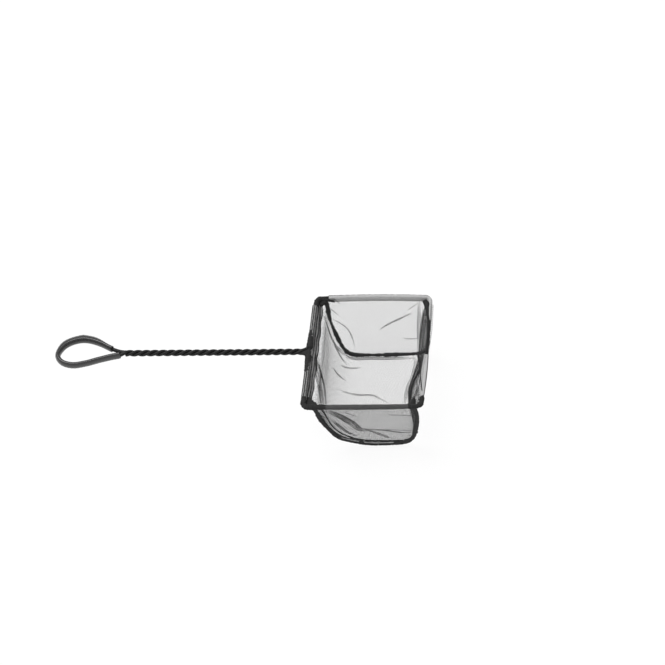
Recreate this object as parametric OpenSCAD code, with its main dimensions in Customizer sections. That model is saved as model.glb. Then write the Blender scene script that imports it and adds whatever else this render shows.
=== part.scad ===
// Aquarium fish net: a sewn net bag on a rectangular wire mouth, with a twisted wire handle.
// One vinyl-coated wire makes the handle, the grip loop and the mouth. It starts at the
// throat, runs out along the handle, round the loop and back, once round the mouth, and out
// along the handle again, so the handle is a twist of three strands.
// The handle lies along X, the mouth is level and open at the top, and the bag hangs below.

/* [Wire] */
// Diameter of the wire over its vinyl coat
wire_d = 2.8; // [2.2:0.1:3.4]
// Gap between neighbouring strands of the twist
strand_gap = 0.1; // [0.05:0.05:0.3]

/* [Mouth] */
// Mouth along the handle, between the middles of its rails
mouth_l = 110.5; // [90:0.5:150]
// Mouth across the handle, between the middles of its rails
mouth_w = 126; // [100:1:170]
// Bend radius of the mouth's corners, at the middle of the wire
corner_r = 5; // [4:0.5:9]
// How far the far rail has slid along the handle against the near rail
mouth_lean = 13; // [0:0.5:20]
// How far the far rail and the end rail bow outwards
rail_bow = 1.2; // [0:0.1:3]

/* [Handle] */
// Length of the twisted part
twist_l = 167; // [120:1:240]
// Turns of the twist over that length
twist_turns = 7; // [5:1:9]
// Length of the throat, from the end of the twist to the handle-side rail
throat_l = 7.5; // [6:0.5:12]
// Half of the rail's length that the strands take to bend into it
throat_w = 9; // [8:0.5:14]
// How far the wire's first end runs on past the twist, between the two strands that part
first_end = 4.5; // [1:0.5:5]

/* [Grip loop] */
// Length of the loop, at the middle of the wire
loop_l = 64.4; // [50:0.1:90]
// Width of the loop, at the middle of the wire
loop_w = 29.4; // [24:0.1:44]
// Width of the flattened grip sleeve, in the plane of the loop
sleeve_w = 5; // [4.6:0.1:7]
// Height of the grip sleeve, square to the loop
sleeve_h = 8.3; // [6:0.1:10]
// Wall of the grip sleeve
sleeve_wall = 0.8; // [0.4:0.1:0.8]
// Wire left bare on the loop's far branch
bare_far = 13; // [10:0.5:20]
// Wire left bare on the loop's near branch
bare_near = 5; // [5:0.5:12]

/* [Net bag] */
// Depth of the bag below the middle of the rails
bag_depth = 82; // [50:0.5:120]
// How far each side panel leans in at the bottom
bag_taper = 11.3; // [4:0.1:20]
// Thickness of the netting
net_t = 0.6; // [0.4:0.1:1]
// Distance from one opening of a side panel to the next, far coarser than the real mesh
mesh_pitch = 12; // [10:1:30]
// Width of netting left between two openings
mesh_bar = 1.6; // [1:0.1:3]
// Width of the seam bindings
binding_w = 3.6; // [2.4:0.1:4.6]
// Thickness of the seam bindings
binding_t = 3.2; // [1.6:0.1:4]
// Wall of the hems round the rails
hem_t = 0.6; // [0.4:0.1:1]
// Gap between the wire and a hem
hem_gap = 0.15; // [0.1:0.05:0.3]
// Slack in the far hem, on either side of its rail
far_hem_slack = 0.4; // [0:0.1:1]
// Gap between a panel's edge and what it is sewn to
sewn_gap = 0.2; // [0.15:0.05:0.4]
// Near and far rails left bare next to the handle-side corners
bare_handle = 15; // [8:0.5:24]
// Near and far rails left bare next to the end corners
bare_end = 4; // [2:0.5:14]
// Side rails left bare next to each corner
bare_side = 4.5; // [2:0.5:10]

/* [Hidden] */

wire_color = [0.09, 0.09, 0.1];
sleeve_color = [0.16, 0.16, 0.17];
net_color = [0.45, 0.45, 0.46, 0.6];
binding_color = [0.13, 0.13, 0.14];
hem_color = [0.25, 0.25, 0.26];

wire_r = wire_d / 2;
up = [0, 0, 1];
across = [0, 1, 0];

// Faces round the wire, the sleeve and the hems
wire_sides = 8;
tube_sides = 12;
sleeve_sides = 14;
// Rings of wire in one turn of the twist, in a corner bend and along a rail
turn_rings = 14;
corner_rings = 4;
rail_rings = 7;
throat_rings = 6;
// Rings between two points of the loop, and of a seam
loop_steps = 3;
seam_steps = 3;
// Columns of netting across the bag
wrap_columns = 10;

// A strand's section, cut square to the handle, is an ellipse that is drawn out sideways by
// the lay of the twist. Three such ellipses touch when their middles lie at strand_r.
pitch = twist_l / twist_turns;
strand_count = 3;
lay = atan(PI * wire_d * 2 / sqrt(strand_count) / pitch);
stretch = sqrt(pow(cos(30) / cos(lay), 2) + pow(sin(30), 2));
strand_r = (wire_d * stretch + strand_gap) / sqrt(strand_count) / cos(180 / turn_rings);
helix_slope = 2 * PI * strand_r / pitch;

throat_x = -throat_l;
crotch_x = -throat_l - twist_l;
// Where each strand lies round the handle at the throat, and again a whole number of turns on
out_phase = 330;
back_phase = 90;
last_phase = 210;

// Points of the grip loop from the far branch round to the near one: shares of its length,
// counted from the crotch, and of half its width
loop_shares = [
    [0.1, 0.16], [0.22, 0.37], [0.4, 0.81], [0.6, 1.07], [0.77, 0.97], [0.92, 0.56],
    [1, -0.14],
    [0.93, -0.68], [0.77, -0.9], [0.58, -0.76], [0.4, -0.51], [0.22, -0.29], [0.09, -0.19]
];
// Share of the loop's length over which its branches level out
level_share = 0.3;

// Seams of the bag from the handle side round the bottom to the end: shares of the mouth's
// length and of the bag's depth
far_seam_shares = [
    [0.085, 0.036], [0.098, 0.15], [0.125, 0.39], [0.185, 0.66], [0.25, 0.88], [0.33, 0.985],
    [0.5, 1], [0.72, 0.995], [0.93, 0.97], [0.98, 0.87], [0.975, 0.6], [0.955, 0.3],
    [0.94, 0.15], [0.925, 0.036]
];
near_seam_shares = [
    [0.095, 0.036], [0.112, 0.13], [0.15, 0.35], [0.215, 0.6], [0.29, 0.8], [0.4, 0.905],
    [0.55, 0.985], [0.73, 0.99], [0.88, 0.95], [0.945, 0.82], [0.965, 0.55], [0.97, 0.27],
    [0.955, 0.13], [0.935, 0.036]
];
// The same line half-way between the two seams, where the netting bags out or in, and how much
// further along the handle than there the netting lies on the far side, and less far on the near one
middle_shares = [
    [0, 0.031, 0], [0.085, 0.12, 0], [0.12, 0.34, 0], [0.165, 0.62, 0], [0.25, 0.87, 0],
    [0.36, 0.99, 0], [0.53, 1.02, 0], [0.74, 1.015, 0], [0.92, 0.975, 0], [0.97, 0.84, 0.015],
    [0.945, 0.57, 0.035], [0.92, 0.28, 0.035], [0.93, 0.12, 0.021], [1, 0.031, 0]
];
// How squarely the netting turns from its middle to the seams, down in the bag and up at the
// rails, and the share of the depth over which the one becomes the other
fullness = 5;
rail_fullness = 14;
rail_share = 0.3;
// The shares of the width between which the netting crosses from its near place to its far one
crossing_shares = [0.25, 0.55];

hem_r = wire_r + hem_gap + hem_t;
seam_reach = binding_w / 2 + sewn_gap;
net_top = hem_r + sewn_gap;

function unit(v) = v / norm(v);
function mix(a, b, t) = a + (b - a) * t;
function last(v) = v[len(v) - 1];
function reversed(v) = [for (i = [len(v) - 1:-1:0]) v[i]];

// A smooth curve from b to c that heads for them as a and d say
function curve_point(a, b, c, d, t) =
    b + ((c - a) * t + (2 * a - 5 * b + 4 * c - d) * t * t
    + (3 * b - a - 3 * c + d) * t * t * t) / 2;

// The curve through all of these points but the first and last, which only give its ends their heading
function curve_through(points, steps) = [
    for (i = [1:len(points) - 3])
        for (k = [0:steps - (i == len(points) - 3 ? 0 : 1)])
            curve_point(points[i - 1], points[i], points[i + 1], points[i + 2], k / steps)
];

// A list of points with one more added beyond either end, in line with it
function with_ends(points) = concat(
    [2 * points[0] - points[1]], points, [2 * last(points) - points[len(points) - 2]]
);

// A curve from a to b that leaves and arrives along the given directions
function bend(a, leaving, b, arriving, steps) = [
    for (k = [1:steps - 1])
        let (t = k / steps)
            a * (2 * pow(t, 3) - 3 * pow(t, 2) + 1) + leaving * (pow(t, 3) - 2 * pow(t, 2) + t)
            + b * (3 * pow(t, 2) - 2 * pow(t, 3)) + arriving * (pow(t, 3) - pow(t, 2))
];

// A point of the mouth: the rectangle is leaned over so that its far rail slides along the handle
function leaned(x, y, z) = [x + mouth_lean * y / mouth_w, y, z];

// A point of one strand, and the direction in which it runs towards the mouth
function strand_point(phase, x) =
    let (turn = phase + 360 * (throat_x - x) / pitch)
        [x, strand_r * cos(turn), strand_r * sin(turn)];
function strand_heading(phase) = [1, helix_slope * sin(phase), -helix_slope * cos(phase)];

strand_rings = twist_turns * turn_rings;
function strand(phase) = [
    for (i = [0:strand_rings]) strand_point(phase, mix(crotch_x, throat_x, i / strand_rings))
];

// The loop's branches start level with their strands and come down to the middle plane
function loop_point(s) =
    let (rise = s[0] < level_share ? pow(1 - s[0] / level_share, 2) : 0)
        [
            crotch_x - s[0] * loop_l,
            s[1] * loop_w / 2,
            rise * strand_point(s[1] > 0 ? out_phase : back_phase, crotch_x).z
        ];
loop_path = curve_through(
    concat(
        [strand_point(out_phase, crotch_x + pitch / turn_rings), strand_point(out_phase, crotch_x)],
        [for (s = loop_shares) loop_point(s)],
        [strand_point(back_phase, crotch_x), strand_point(back_phase, crotch_x + pitch / turn_rings)]
    ),
    loop_steps
);

// The four rails run from corner bend to corner bend: t is 0 and 1 at the bends
function far_rail(t) =
    leaned(mix(corner_r, mouth_l - corner_r, t), mouth_w / 2 + rail_bow * 4 * t * (1 - t), 0);
function near_rail(t) = leaned(mix(corner_r, mouth_l - corner_r, t), -mouth_w / 2, 0);
function end_rail(t) =
    leaned(mouth_l + rail_bow * 4 * t * (1 - t), mix(-1, 1, t) * (mouth_w / 2 - corner_r), 0);
function handle_rail(y) = leaned(0, y, 0);
function corner(x_side, y_side, start) = [
    for (k = [1:corner_rings - 1])
        let (turn = start - 90 * k / corner_rings)
            leaned(
                (x_side < 0 ? corner_r : mouth_l - corner_r) + corner_r * cos(turn),
                y_side * (mouth_w / 2 - corner_r) + corner_r * sin(turn),
                0
            )
];

straight = mouth_w / 2 - corner_r;
bend_reach = (throat_l + throat_w) * 0.75;
rail_heading = unit(leaned(0, 1, 0));
wire_path = concat(
    [strand_point(out_phase, throat_x) + strand_heading(out_phase) * first_end],
    reversed(strand(out_phase)),
    [for (i = [1:len(loop_path) - 2]) loop_path[i]],
    strand(back_phase),
    bend(
        strand_point(back_phase, throat_x), strand_heading(back_phase) * bend_reach,
        handle_rail(throat_w), rail_heading * bend_reach, throat_rings
    ),
    [handle_rail(throat_w), handle_rail(straight)],
    corner(-1, 1, 180),
    [for (k = [0:rail_rings]) far_rail(k / rail_rings)],
    corner(1, 1, 90),
    [for (k = [rail_rings:-1:0]) end_rail(k / rail_rings)],
    corner(1, -1, 0),
    [near_rail(1), near_rail(0)],
    corner(-1, -1, 270),
    [handle_rail(-straight), handle_rail(-throat_w)],
    reversed(bend(
        strand_point(last_phase, throat_x), strand_heading(last_phase) * bend_reach,
        handle_rail(-throat_w), -rail_heading * bend_reach, throat_rings
    )),
    reversed(strand(last_phase))
);

sleeve_path = [
    for (p = loop_path) if (p.x <= crotch_x - (p.y > 0 ? bare_far : bare_near)) p
];

// Hems, cut short of the corners and of the throat
hem_from = bare_handle / (mouth_l - 2 * corner_r);
hem_to = 1 - bare_end / (mouth_l - 2 * corner_r);
function stretch_of(from, to, k) = mix(from, to, k / rail_rings);
hem_far_path = [for (k = [0:rail_rings]) far_rail(stretch_of(hem_from, hem_to, k))];
hem_near_path = [for (k = [0:rail_rings]) near_rail(stretch_of(hem_from, hem_to, k))];
hem_side_reach = straight - bare_side;
hem_end_share = bare_side / (2 * straight);
hem_end_path = [for (k = [0:rail_rings]) end_rail(stretch_of(hem_end_share, 1 - hem_end_share, k))];
hem_throat = throat_w + wire_d;

// Half the bag's width at a share of its depth
function half_width(share) = mouth_w / 2 - bag_taper * share;
function seam_of(shares, side) = [
    for (s = shares) leaned(s[0] * mouth_l, side * half_width(s[1]), -s[1] * bag_depth)
];
far_seam = curve_through(with_ends(seam_of(far_seam_shares, 1)), seam_steps);
near_seam = curve_through(with_ends(seam_of(near_seam_shares, -1)), seam_steps);
// The middle line keeps clear of the hems at both ends
middle_line = curve_through(with_ends([
    for (s = middle_shares) [s[0] * mouth_l, s[2] * mouth_l, -max(s[1] * bag_depth, net_top)]
]), seam_steps);

// The netting between the seams: q is 0 at the near seam and 1 at the far one
function eased(t) = let (u = min(max(t, 0), 1)) u * u * (3 - 2 * u);
function crossed(q) =
    2 * eased((q - crossing_shares[0]) / (crossing_shares[1] - crossing_shares[0])) - 1;
function wrap_point(i, q) =
    let (
        near = near_seam[i],
        far = far_seam[i],
        line = middle_line[i],
        half = mix(near, far, 0.5),
        full = mix(rail_fullness, fullness, eased(-line.z / (rail_share * bag_depth))),
        out = 1 - pow(abs(2 * q - 1), full)
    )
        mix(near, far, q) + [line.x - half.x + line.y * crossed(q), 0, line.z - half.z] * out;
function wrap_q(i, k) =
    let (inset = seam_reach / norm(far_seam[i] - near_seam[i]))
        mix(inset, 1 - inset, k / wrap_columns);
wrap_grid = [
    for (i = [0:len(far_seam) - 1]) [for (k = [0:wrap_columns]) wrap_point(i, wrap_q(i, k))]
];

function tangent(path, i) =
    unit(path[min(i + 1, len(path) - 1)] - path[max(i - 1, 0)]);

// A side panel is flat. It is drawn along the mouth and down the bag, and fills its seam up to
// the hem: its edge keeps inside these outlines by seam_reach.
function panel_outline(shares) =
    let (
        seam = curve_through(with_ends([for (s = shares) [s[0] * mouth_l, s[1] * bag_depth]]), seam_steps),
        top = net_top - seam_reach
    )
        concat([[seam[0].x, top]], seam, [[last(seam).x, top]]);
function panel_down(side) = [
    -mouth_lean * side * bag_taper / mouth_w / bag_depth, -side * bag_taper / bag_depth, -1
];
function panel_place(side) =
    let (
        start = leaned(0, side * mouth_w / 2, 0),
        down = panel_down(side),
        thick = unit(cross([1, 0, 0], down))
    )
        [
            [1, down.x, thick.x, start.x],
            [0, down.y, thick.y, start.y],
            [0, down.z, thick.z, start.z],
            [0, 0, 0, 1]
        ];

// Rings of points round a path: a is half the width and b half the height of the section
function ring(p, heading, ref, a, b, sides) =
    let (side = unit(cross(heading, ref)), rise = cross(side, heading))
        [
            for (j = [0:sides - 1])
                let (turn = 360 * (j + 0.5) / sides)
                    p + side * a * cos(turn) + rise * b * sin(turn)
        ];
function rings(path, ref, a, b, sides) = [
    for (i = [0:len(path) - 1]) each ring(path[i], tangent(path, i), ref, a, b, sides)
];
function skin_faces(rows, sides, at, inward) = [
    for (i = [0:rows - 2], j = [0:sides - 1])
        let (
            p = at + i * sides + j,
            q = at + i * sides + (j + 1) % sides,
            quad = [[p, q, p + sides], [p + sides, q, q + sides]]
        )
            each inward ? [for (f = quad) reversed(f)] : quad
];

// A solid bar along a path
module bar(path, ref, a, b, sides) {
    rows = len(path);
    end = (rows - 1) * sides;
    polyhedron(
        points = rings(path, ref, a, b, sides),
        faces = concat(
            skin_faces(rows, sides, 0, false),
            [for (j = [1:sides - 2]) [0, j + 1, j]],
            [for (j = [1:sides - 2]) [end, end + j, end + j + 1]]
        )
    );
}

// A tube along a path, with an even wall and open ends
module tube(path, ref, a, b, wall, sides) {
    rows = len(path);
    inner = rows * sides;
    end = (rows - 1) * sides;
    polyhedron(
        points = concat(
            rings(path, ref, a, b, sides), rings(path, ref, a - wall, b - wall, sides)
        ),
        faces = concat(
            skin_faces(rows, sides, 0, false),
            skin_faces(rows, sides, inner, true),
            [
                for (j = [0:sides - 1])
                    let (k = (j + 1) % sides)
                        each [[j, inner + j, k], [k, inner + j, inner + k]]
            ],
            [
                for (j = [0:sides - 1])
                    let (k = (j + 1) % sides)
                        each [
                            [end + j, end + k, end + inner + j],
                            [end + k, end + inner + k, end + inner + j]
                        ]
            ]
        )
    );
}

// A sheet of netting through a grid of points. Its thickness lies on the side that
// flip chooses.
module sheet(grid, flip) {
    rows = len(grid);
    cols = len(grid[0]);
    thick = net_t * (flip ? -1 : 1);
    function normal(i, k) = unit(cross(
        grid[min(i + 1, rows - 1)][k] - grid[max(i - 1, 0)][k],
        grid[i][min(k + 1, cols - 1)] - grid[i][max(k - 1, 0)]
    ));
    back = rows * cols;
    rim = concat(
        [for (i = [0:rows - 1]) i * cols],
        [for (k = [1:cols - 1]) (rows - 1) * cols + k],
        [for (i = [rows - 2:-1:0]) i * cols + cols - 1],
        [for (k = [cols - 2:-1:1]) k]
    );
    front_faces = [
        for (i = [0:rows - 2], k = [0:cols - 2])
            let (p = i * cols + k)
                each [[p, p + cols, p + 1], [p + cols, p + cols + 1, p + 1]]
    ];
    rim_faces = [
        for (j = [0:len(rim) - 1])
            let (a = rim[j], b = rim[(j + 1) % len(rim)])
                each [[a, a + back, b], [b, a + back, b + back]]
    ];
    faces = concat(
        front_faces,
        [for (f = front_faces) [for (p = reversed(f)) p + back]],
        rim_faces
    );
    polyhedron(
        points = concat(
            [for (row = grid) each row],
            [for (i = [0:rows - 1], k = [0:cols - 1]) grid[i][k] + normal(i, k) * thick]
        ),
        faces = flip ? [for (f = faces) reversed(f)] : faces
    );
}

// The openings of a flat panel
module openings(outline) {
    intersection() {
        offset(delta = -seam_reach - mesh_bar) polygon(outline);
        for (x = [0:mesh_pitch:mouth_l], y = [0:mesh_pitch:bag_depth])
            translate([x, y]) square(mesh_pitch - mesh_bar);
    }
}

// A flat panel of netting. What is thinner than a bar is left out of its openings.
module panel(shares, side) {
    outline = panel_outline(shares);
    color(net_color) placed() multmatrix(panel_place(side))
        linear_extrude(net_t, center = true)
            difference() {
                offset(delta = -seam_reach) polygon(outline);
                intersection() {
                    openings(outline);
                    offset(delta = mesh_bar / 2) offset(delta = -mesh_bar / 2) openings(outline);
                }
            }
}

// The origin is under the middle of the whole part
sleeve_rings = rings(sleeve_path, up, sleeve_w / 2, sleeve_h / 2, sleeve_sides);
end_rings = rings(hem_end_path, up, hem_r, hem_r, tube_sides);
far_rings = rings(hem_far_path, up, hem_r + far_hem_slack, hem_r, tube_sides);
near_rings = rings(hem_near_path, up, hem_r, hem_r, tube_sides);
binding_rings = rings(far_seam, across, binding_w / 2, binding_t / 2, wire_sides);
low_x = min([for (p = sleeve_rings) p.x]);
high_x = max([for (p = end_rings) p.x]);
low_y = min([for (p = near_rings) p.y]);
high_y = max([for (p = far_rings) p.y]);
low_z = min(
    min([for (p = binding_rings) p.z]),
    min([for (row = wrap_grid) for (p = row) p.z]) - net_t
);
centre = [(low_x + high_x) / 2, (low_y + high_y) / 2, low_z];

module placed() {
    translate(-centre) children();
}

module frame_wire() {
    color(wire_color) placed() bar(wire_path, up, wire_r, wire_r, wire_sides);
}

module grip_sleeve() {
    color(sleeve_color) placed()
        tube(sleeve_path, up, sleeve_w / 2, sleeve_h / 2, sleeve_wall, sleeve_sides);
}

module net_wrap() {
    color(net_color) placed() sheet(wrap_grid, true);
}

module net_far_panel() {
    panel(far_seam_shares, 1);
}

module net_near_panel() {
    panel(near_seam_shares, -1);
}

module seam_binding(seam) {
    color(binding_color) placed() bar(seam, across, binding_w / 2, binding_t / 2, wire_sides);
}

module far_seam_binding() {
    seam_binding(far_seam);
}

module near_seam_binding() {
    seam_binding(near_seam);
}

module hem(path, slack) {
    color(hem_color) placed() tube(path, up, hem_r + slack, hem_r, hem_t, tube_sides);
}

module hem_far() {
    hem(hem_far_path, far_hem_slack);
}

module hem_near() {
    hem(hem_near_path, 0);
}

// The handle leaves between the two halves of this hem
module hem_handle() {
    for (side = [-1, 1])
        hem([handle_rail(side * hem_throat), handle_rail(side * hem_side_reach)], 0);
}

module hem_end() {
    hem(hem_end_path, 0);
}

frame_wire();
grip_sleeve();
net_wrap();
net_far_panel();
net_near_panel();
far_seam_binding();
near_seam_binding();
hem_far();
hem_near();
hem_handle();
hem_end();
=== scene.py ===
# %% [markdown]
# # An aquarium fish net
#
# The net is one long piece of vinyl-coated wire and a small sewn bag. The wire makes the
# grip loop, the three strands of the handle and the square mouth. The bag is cut from
# open nylon netting, bound along two seams, and hemmed round the four rails of the mouth.
#
# Every shape below is a formula worked out with numpy in millimetres and then put into a
# mesh in metres, so that each piece lies where the construction model has it. Sculpting
# and a cloth simulation would also give a net, but not the same one at each run.

import bpy
import numpy as np
from mathutils import Matrix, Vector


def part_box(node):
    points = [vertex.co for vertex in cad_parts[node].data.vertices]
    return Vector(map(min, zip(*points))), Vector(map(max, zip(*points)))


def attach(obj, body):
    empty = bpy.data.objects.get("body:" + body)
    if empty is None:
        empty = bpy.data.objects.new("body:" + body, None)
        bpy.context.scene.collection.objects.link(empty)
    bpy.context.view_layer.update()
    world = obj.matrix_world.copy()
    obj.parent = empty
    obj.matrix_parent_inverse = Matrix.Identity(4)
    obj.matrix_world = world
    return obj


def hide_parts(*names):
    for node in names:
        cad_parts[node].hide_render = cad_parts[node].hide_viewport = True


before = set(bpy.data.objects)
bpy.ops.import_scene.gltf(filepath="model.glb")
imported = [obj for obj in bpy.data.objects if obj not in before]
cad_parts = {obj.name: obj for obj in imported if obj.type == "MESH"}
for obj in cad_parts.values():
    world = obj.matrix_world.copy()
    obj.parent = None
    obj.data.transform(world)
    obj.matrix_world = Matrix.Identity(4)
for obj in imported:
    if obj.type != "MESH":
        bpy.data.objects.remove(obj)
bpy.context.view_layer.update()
MM = 0.001
ROOT = "root"

# %% [markdown]
# ## Sizes
#
# The wire, the mouth and the bag repeat the driving sizes of the construction model. The
# place of the handle-side rail is read from the frame: the hem round that rail is
# centred on it, and the near hem gives the height of the mouth.

# %% Driving sizes, in millimetres
WIRE_R = 1.4
STRAND_GAP = 0.1
MOUTH_L, MOUTH_W = 110.5, 126.0
CORNER_R = 5.0
MOUTH_LEAN = 13.0
RAIL_BOW = 1.2
TWIST_L, TWIST_TURNS = 167.0, 7
THROAT_L, THROAT_W = 7.5, 9.0
FIRST_END = 4.5
LOOP_L, LOOP_W = 64.4, 29.4
SLEEVE_W, SLEEVE_H, SLEEVE_WALL = 5.0, 8.3, 0.8
BARE_FAR, BARE_NEAR = 13.0, 5.0
BAG_DEPTH, BAG_TAPER = 82.0, 11.3
BINDING_W, BINDING_T = 3.6, 3.2
HEM_R, HEM_WALL = 2.15, 0.6
BARE_HANDLE, BARE_END, BARE_SIDE = 15.0, 4.0, 4.5

near_low, near_high = (np.array(v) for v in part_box("hem_near"))
rail_low, rail_high = (np.array(v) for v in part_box("hem_handle"))
ORIGIN = np.array([
    (rail_low[0] + rail_high[0]) / 2, (rail_low[1] + rail_high[1]) / 2, (near_low[2] + near_high[2]) / 2
])


def to_world(points):
    """Points in millimetres from the middle of the handle-side rail, as metres in the frame."""
    return ORIGIN + np.asarray(points, float) * MM


print("middle of the handle-side rail at", np.round(ORIGIN, 5))

# %% [markdown]
# ## Camera, light and floor
#
# The photograph looks along the mouth's near-to-far line from 55 degrees above it, from
# about two metres away, so the rails stay nearly parallel. The camera slides sideways in
# its own view plane until the mouth falls where the photograph has it, which keeps the
# lens unshifted. The light is a plain white room with one broad lamp for the gloss. A
# picture of a studio would light it too, but a plain room shows the finishes as they are
# written. The floor is white paper, and the camera sees most of it as plain white.

# %% The camera
FRAME_PX = 665
MM_PER_PX = 0.95
ELEVATION = np.radians(55.0)
DISTANCE = 2100.0
SENSOR_MM = 36.0
ROLL = np.radians(-0.5)
MOUTH_MIDDLE_PX = np.array([367.8, 351.2])

look = np.array([0, np.cos(ELEVATION), -np.sin(ELEVATION)])
right = np.array([1.0, 0, 0])
above = np.cross(right, look)
camera_right = np.cos(ROLL) * right + np.sin(ROLL) * above
camera_up = np.cos(ROLL) * above - np.sin(ROLL) * right
aside = (MOUTH_MIDDLE_PX - FRAME_PX / 2) * MM_PER_PX
eye = np.array([MOUTH_L / 2, 0, 0]) - look * DISTANCE - aside[0] * camera_right + aside[1] * camera_up

camera = bpy.data.objects.new("camera", bpy.data.cameras.new("camera"))
camera.data.sensor_width = SENSOR_MM
camera.data.lens = SENSOR_MM * DISTANCE / (FRAME_PX * MM_PER_PX)
camera.data.clip_end = 20
placing = np.eye(4)
placing[:3, 0], placing[:3, 1], placing[:3, 2] = camera_right, camera_up, -look
placing[:3, 3] = to_world(eye)
camera.matrix_world = Matrix(placing.tolist())
bpy.context.collection.objects.link(camera)
bpy.context.scene.camera = camera
print("lens", round(camera.data.lens, 1), "mm")

# %% Nodes that the room and the floor share
WHITE = (1, 1, 1, 1)


def add_node(tree, kind, **values):
    """A shader node with start values for the inputs that are named, where _ stands for a space."""
    node = tree.nodes.new(kind)
    for label, value in values.items():
        node.inputs[label.replace("_", " ")].default_value = value
    return node


def end_in_switch(tree, kind, lighting, shown, share=1.0):
    """Ends a node tree: the camera sees shown by the given share, and all other rays see lighting."""
    rays = add_node(tree, "ShaderNodeLightPath")
    by_camera = add_node(tree, "ShaderNodeMath")
    by_camera.operation = "MULTIPLY"
    by_camera.inputs[1].default_value = share
    mixed = add_node(tree, "ShaderNodeMixShader")
    end = add_node(tree, kind)
    tree.links.new(rays.outputs["Is Camera Ray"], by_camera.inputs[0])
    tree.links.new(by_camera.outputs[0], mixed.inputs["Fac"])
    tree.links.new(lighting.outputs[0], mixed.inputs[1])
    tree.links.new(shown.outputs[0], mixed.inputs[2])
    tree.links.new(mixed.outputs[0], end.inputs["Surface"])


print("node helpers ready")

# %% The room
WORLD_LIGHT = 0.75
world = bpy.data.worlds.new("room")
world.use_nodes = True
bpy.context.scene.world = world
world.node_tree.nodes.clear()
lit = add_node(world.node_tree, "ShaderNodeBackground", Strength=WORLD_LIGHT, Color=WHITE)
seen = add_node(world.node_tree, "ShaderNodeBackground", Strength=1.0, Color=WHITE)
end_in_switch(world.node_tree, "ShaderNodeOutputWorld", lit, seen)
print("room lit at", WORLD_LIGHT)

# %% The floor and the lamp
FLOOR_HALF = 3.0
FLOOR_GREY = 0.9
# How much of the paper the camera sees as plain white; the rest keeps the object's shadow
FLOOR_GLOW = 0.9
LAMP_SIZE, LAMP_POWER = (1.2, 0.8), 22
LAMP_PLACE, LAMP_TURN = (-0.5, 0.3, 1.5), (-8, -18, 0)

paper = bpy.data.materials.new("white_paper")
paper.use_nodes = True
paper.node_tree.nodes.clear()
matt = add_node(paper.node_tree, "ShaderNodeBsdfDiffuse", Color=(FLOOR_GREY, FLOOR_GREY, FLOOR_GREY, 1))
glow = add_node(paper.node_tree, "ShaderNodeEmission", Strength=1.0)
end_in_switch(paper.node_tree, "ShaderNodeOutputMaterial", matt, glow, FLOOR_GLOW)
floor = bpy.data.meshes.new("floor")
floor_corners = [(x * FLOOR_HALF, y * FLOOR_HALF, 0) for x, y in ((-1, -1), (1, -1), (1, 1), (-1, 1))]
floor.from_pydata(floor_corners, [], [(0, 1, 2, 3)])
floor.materials.append(paper)
floor_object = bpy.data.objects.new("floor", floor)
bpy.context.collection.objects.link(floor_object)

lamp = bpy.data.lights.new("soft_box", "AREA")
lamp.shape = "RECTANGLE"
lamp.size, lamp.size_y = LAMP_SIZE
lamp.energy = LAMP_POWER
lamp_object = bpy.data.objects.new("soft_box", lamp)
lamp_object.location = LAMP_PLACE
lamp_object.rotation_euler = tuple(np.radians(LAMP_TURN))
bpy.context.collection.objects.link(lamp_object)
print("floor", 2 * FLOOR_HALF, "m wide, lamp at", LAMP_PLACE)

# %% [markdown]
# ## Finishes
#
# The wire has a black vinyl coat with a soft sheen. The grip sleeve is a softer, slightly
# paler vinyl, and the loop's outer side of it is drawn paler still as painted light. The
# netting, the bindings and the hems are nylon yarn, so they are matt and a little uneven;
# the pale hem is the same yarn drawn pale grey as painted light. Two effects are shared: a
# fine grain, and a weave of ribs that follows each piece's own UV map, which is laid out in
# millimetres. Pictures of cloth could be used in their place. An effect worked out in the
# shader has no seams, stays sharp when seen close, and takes other values in each material.


# %% Shared effects
def effect_group(name, inputs, output):
    """A shader node group with the given value inputs at their start values, and one value output."""
    group = bpy.data.node_groups.new(name, "ShaderNodeTree")
    for label, value in inputs.items():
        socket = group.interface.new_socket(label, in_out="INPUT", socket_type="NodeSocketFloat")
        socket.default_value = value
    group.interface.new_socket(output, in_out="OUTPUT", socket_type="NodeSocketFloat")
    return group, add_node(group, "NodeGroupInput"), add_node(group, "NodeGroupOutput")


def math_node(group, operation, a, b):
    """One sum in a group: a and b are sockets or numbers."""
    node = add_node(group, "ShaderNodeMath")
    node.operation = operation
    for socket, value in zip(node.inputs, (a, b)):
        if isinstance(value, (int, float)):
            socket.default_value = value
        else:
            group.links.new(value, socket)
    return node.outputs[0]


def grain_effect():
    """Fine grain: noise of the given scale per metre, between 0 and 1 about a middle value."""
    group, given, result = effect_group("fine_grain", {"Scale": 900.0, "Detail": 4.0}, "Grain")
    place = add_node(group, "ShaderNodeTexCoord")
    noise = add_node(group, "ShaderNodeTexNoise")
    group.links.new(place.outputs["Object"], noise.inputs["Vector"])
    for label in ("Scale", "Detail"):
        group.links.new(given.outputs[label], noise.inputs[label])
    group.links.new(noise.outputs["Fac"], result.inputs["Grain"])
    return group


def ribs_effect():
    """Woven ribs: half of 1 + sin(along x) sin(across y), with x and y from the UV map in millimetres."""
    group, given, result = effect_group("woven_ribs", {"Along": 6.0, "Across": 6.0}, "Height")
    uv = add_node(group, "ShaderNodeUVMap")
    uv.uv_map = "along_round_mm"
    split = add_node(group, "ShaderNodeSeparateXYZ")
    group.links.new(uv.outputs["UV"], split.inputs["Vector"])
    waves = []
    for axis, label in (("X", "Along"), ("Y", "Across")):
        turned = math_node(group, "MULTIPLY", split.outputs[axis], given.outputs[label])
        waves.append(math_node(group, "SINE", turned, 0.0))
    crossed = math_node(group, "MULTIPLY", waves[0], waves[1])
    halved = math_node(group, "MULTIPLY", crossed, 0.5)
    group.links.new(math_node(group, "ADD", halved, 0.5), result.inputs["Height"])
    return group


GRAIN = grain_effect()
RIBS = ribs_effect()
print("shared effects:", GRAIN.name, "and", RIBS.name)


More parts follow.
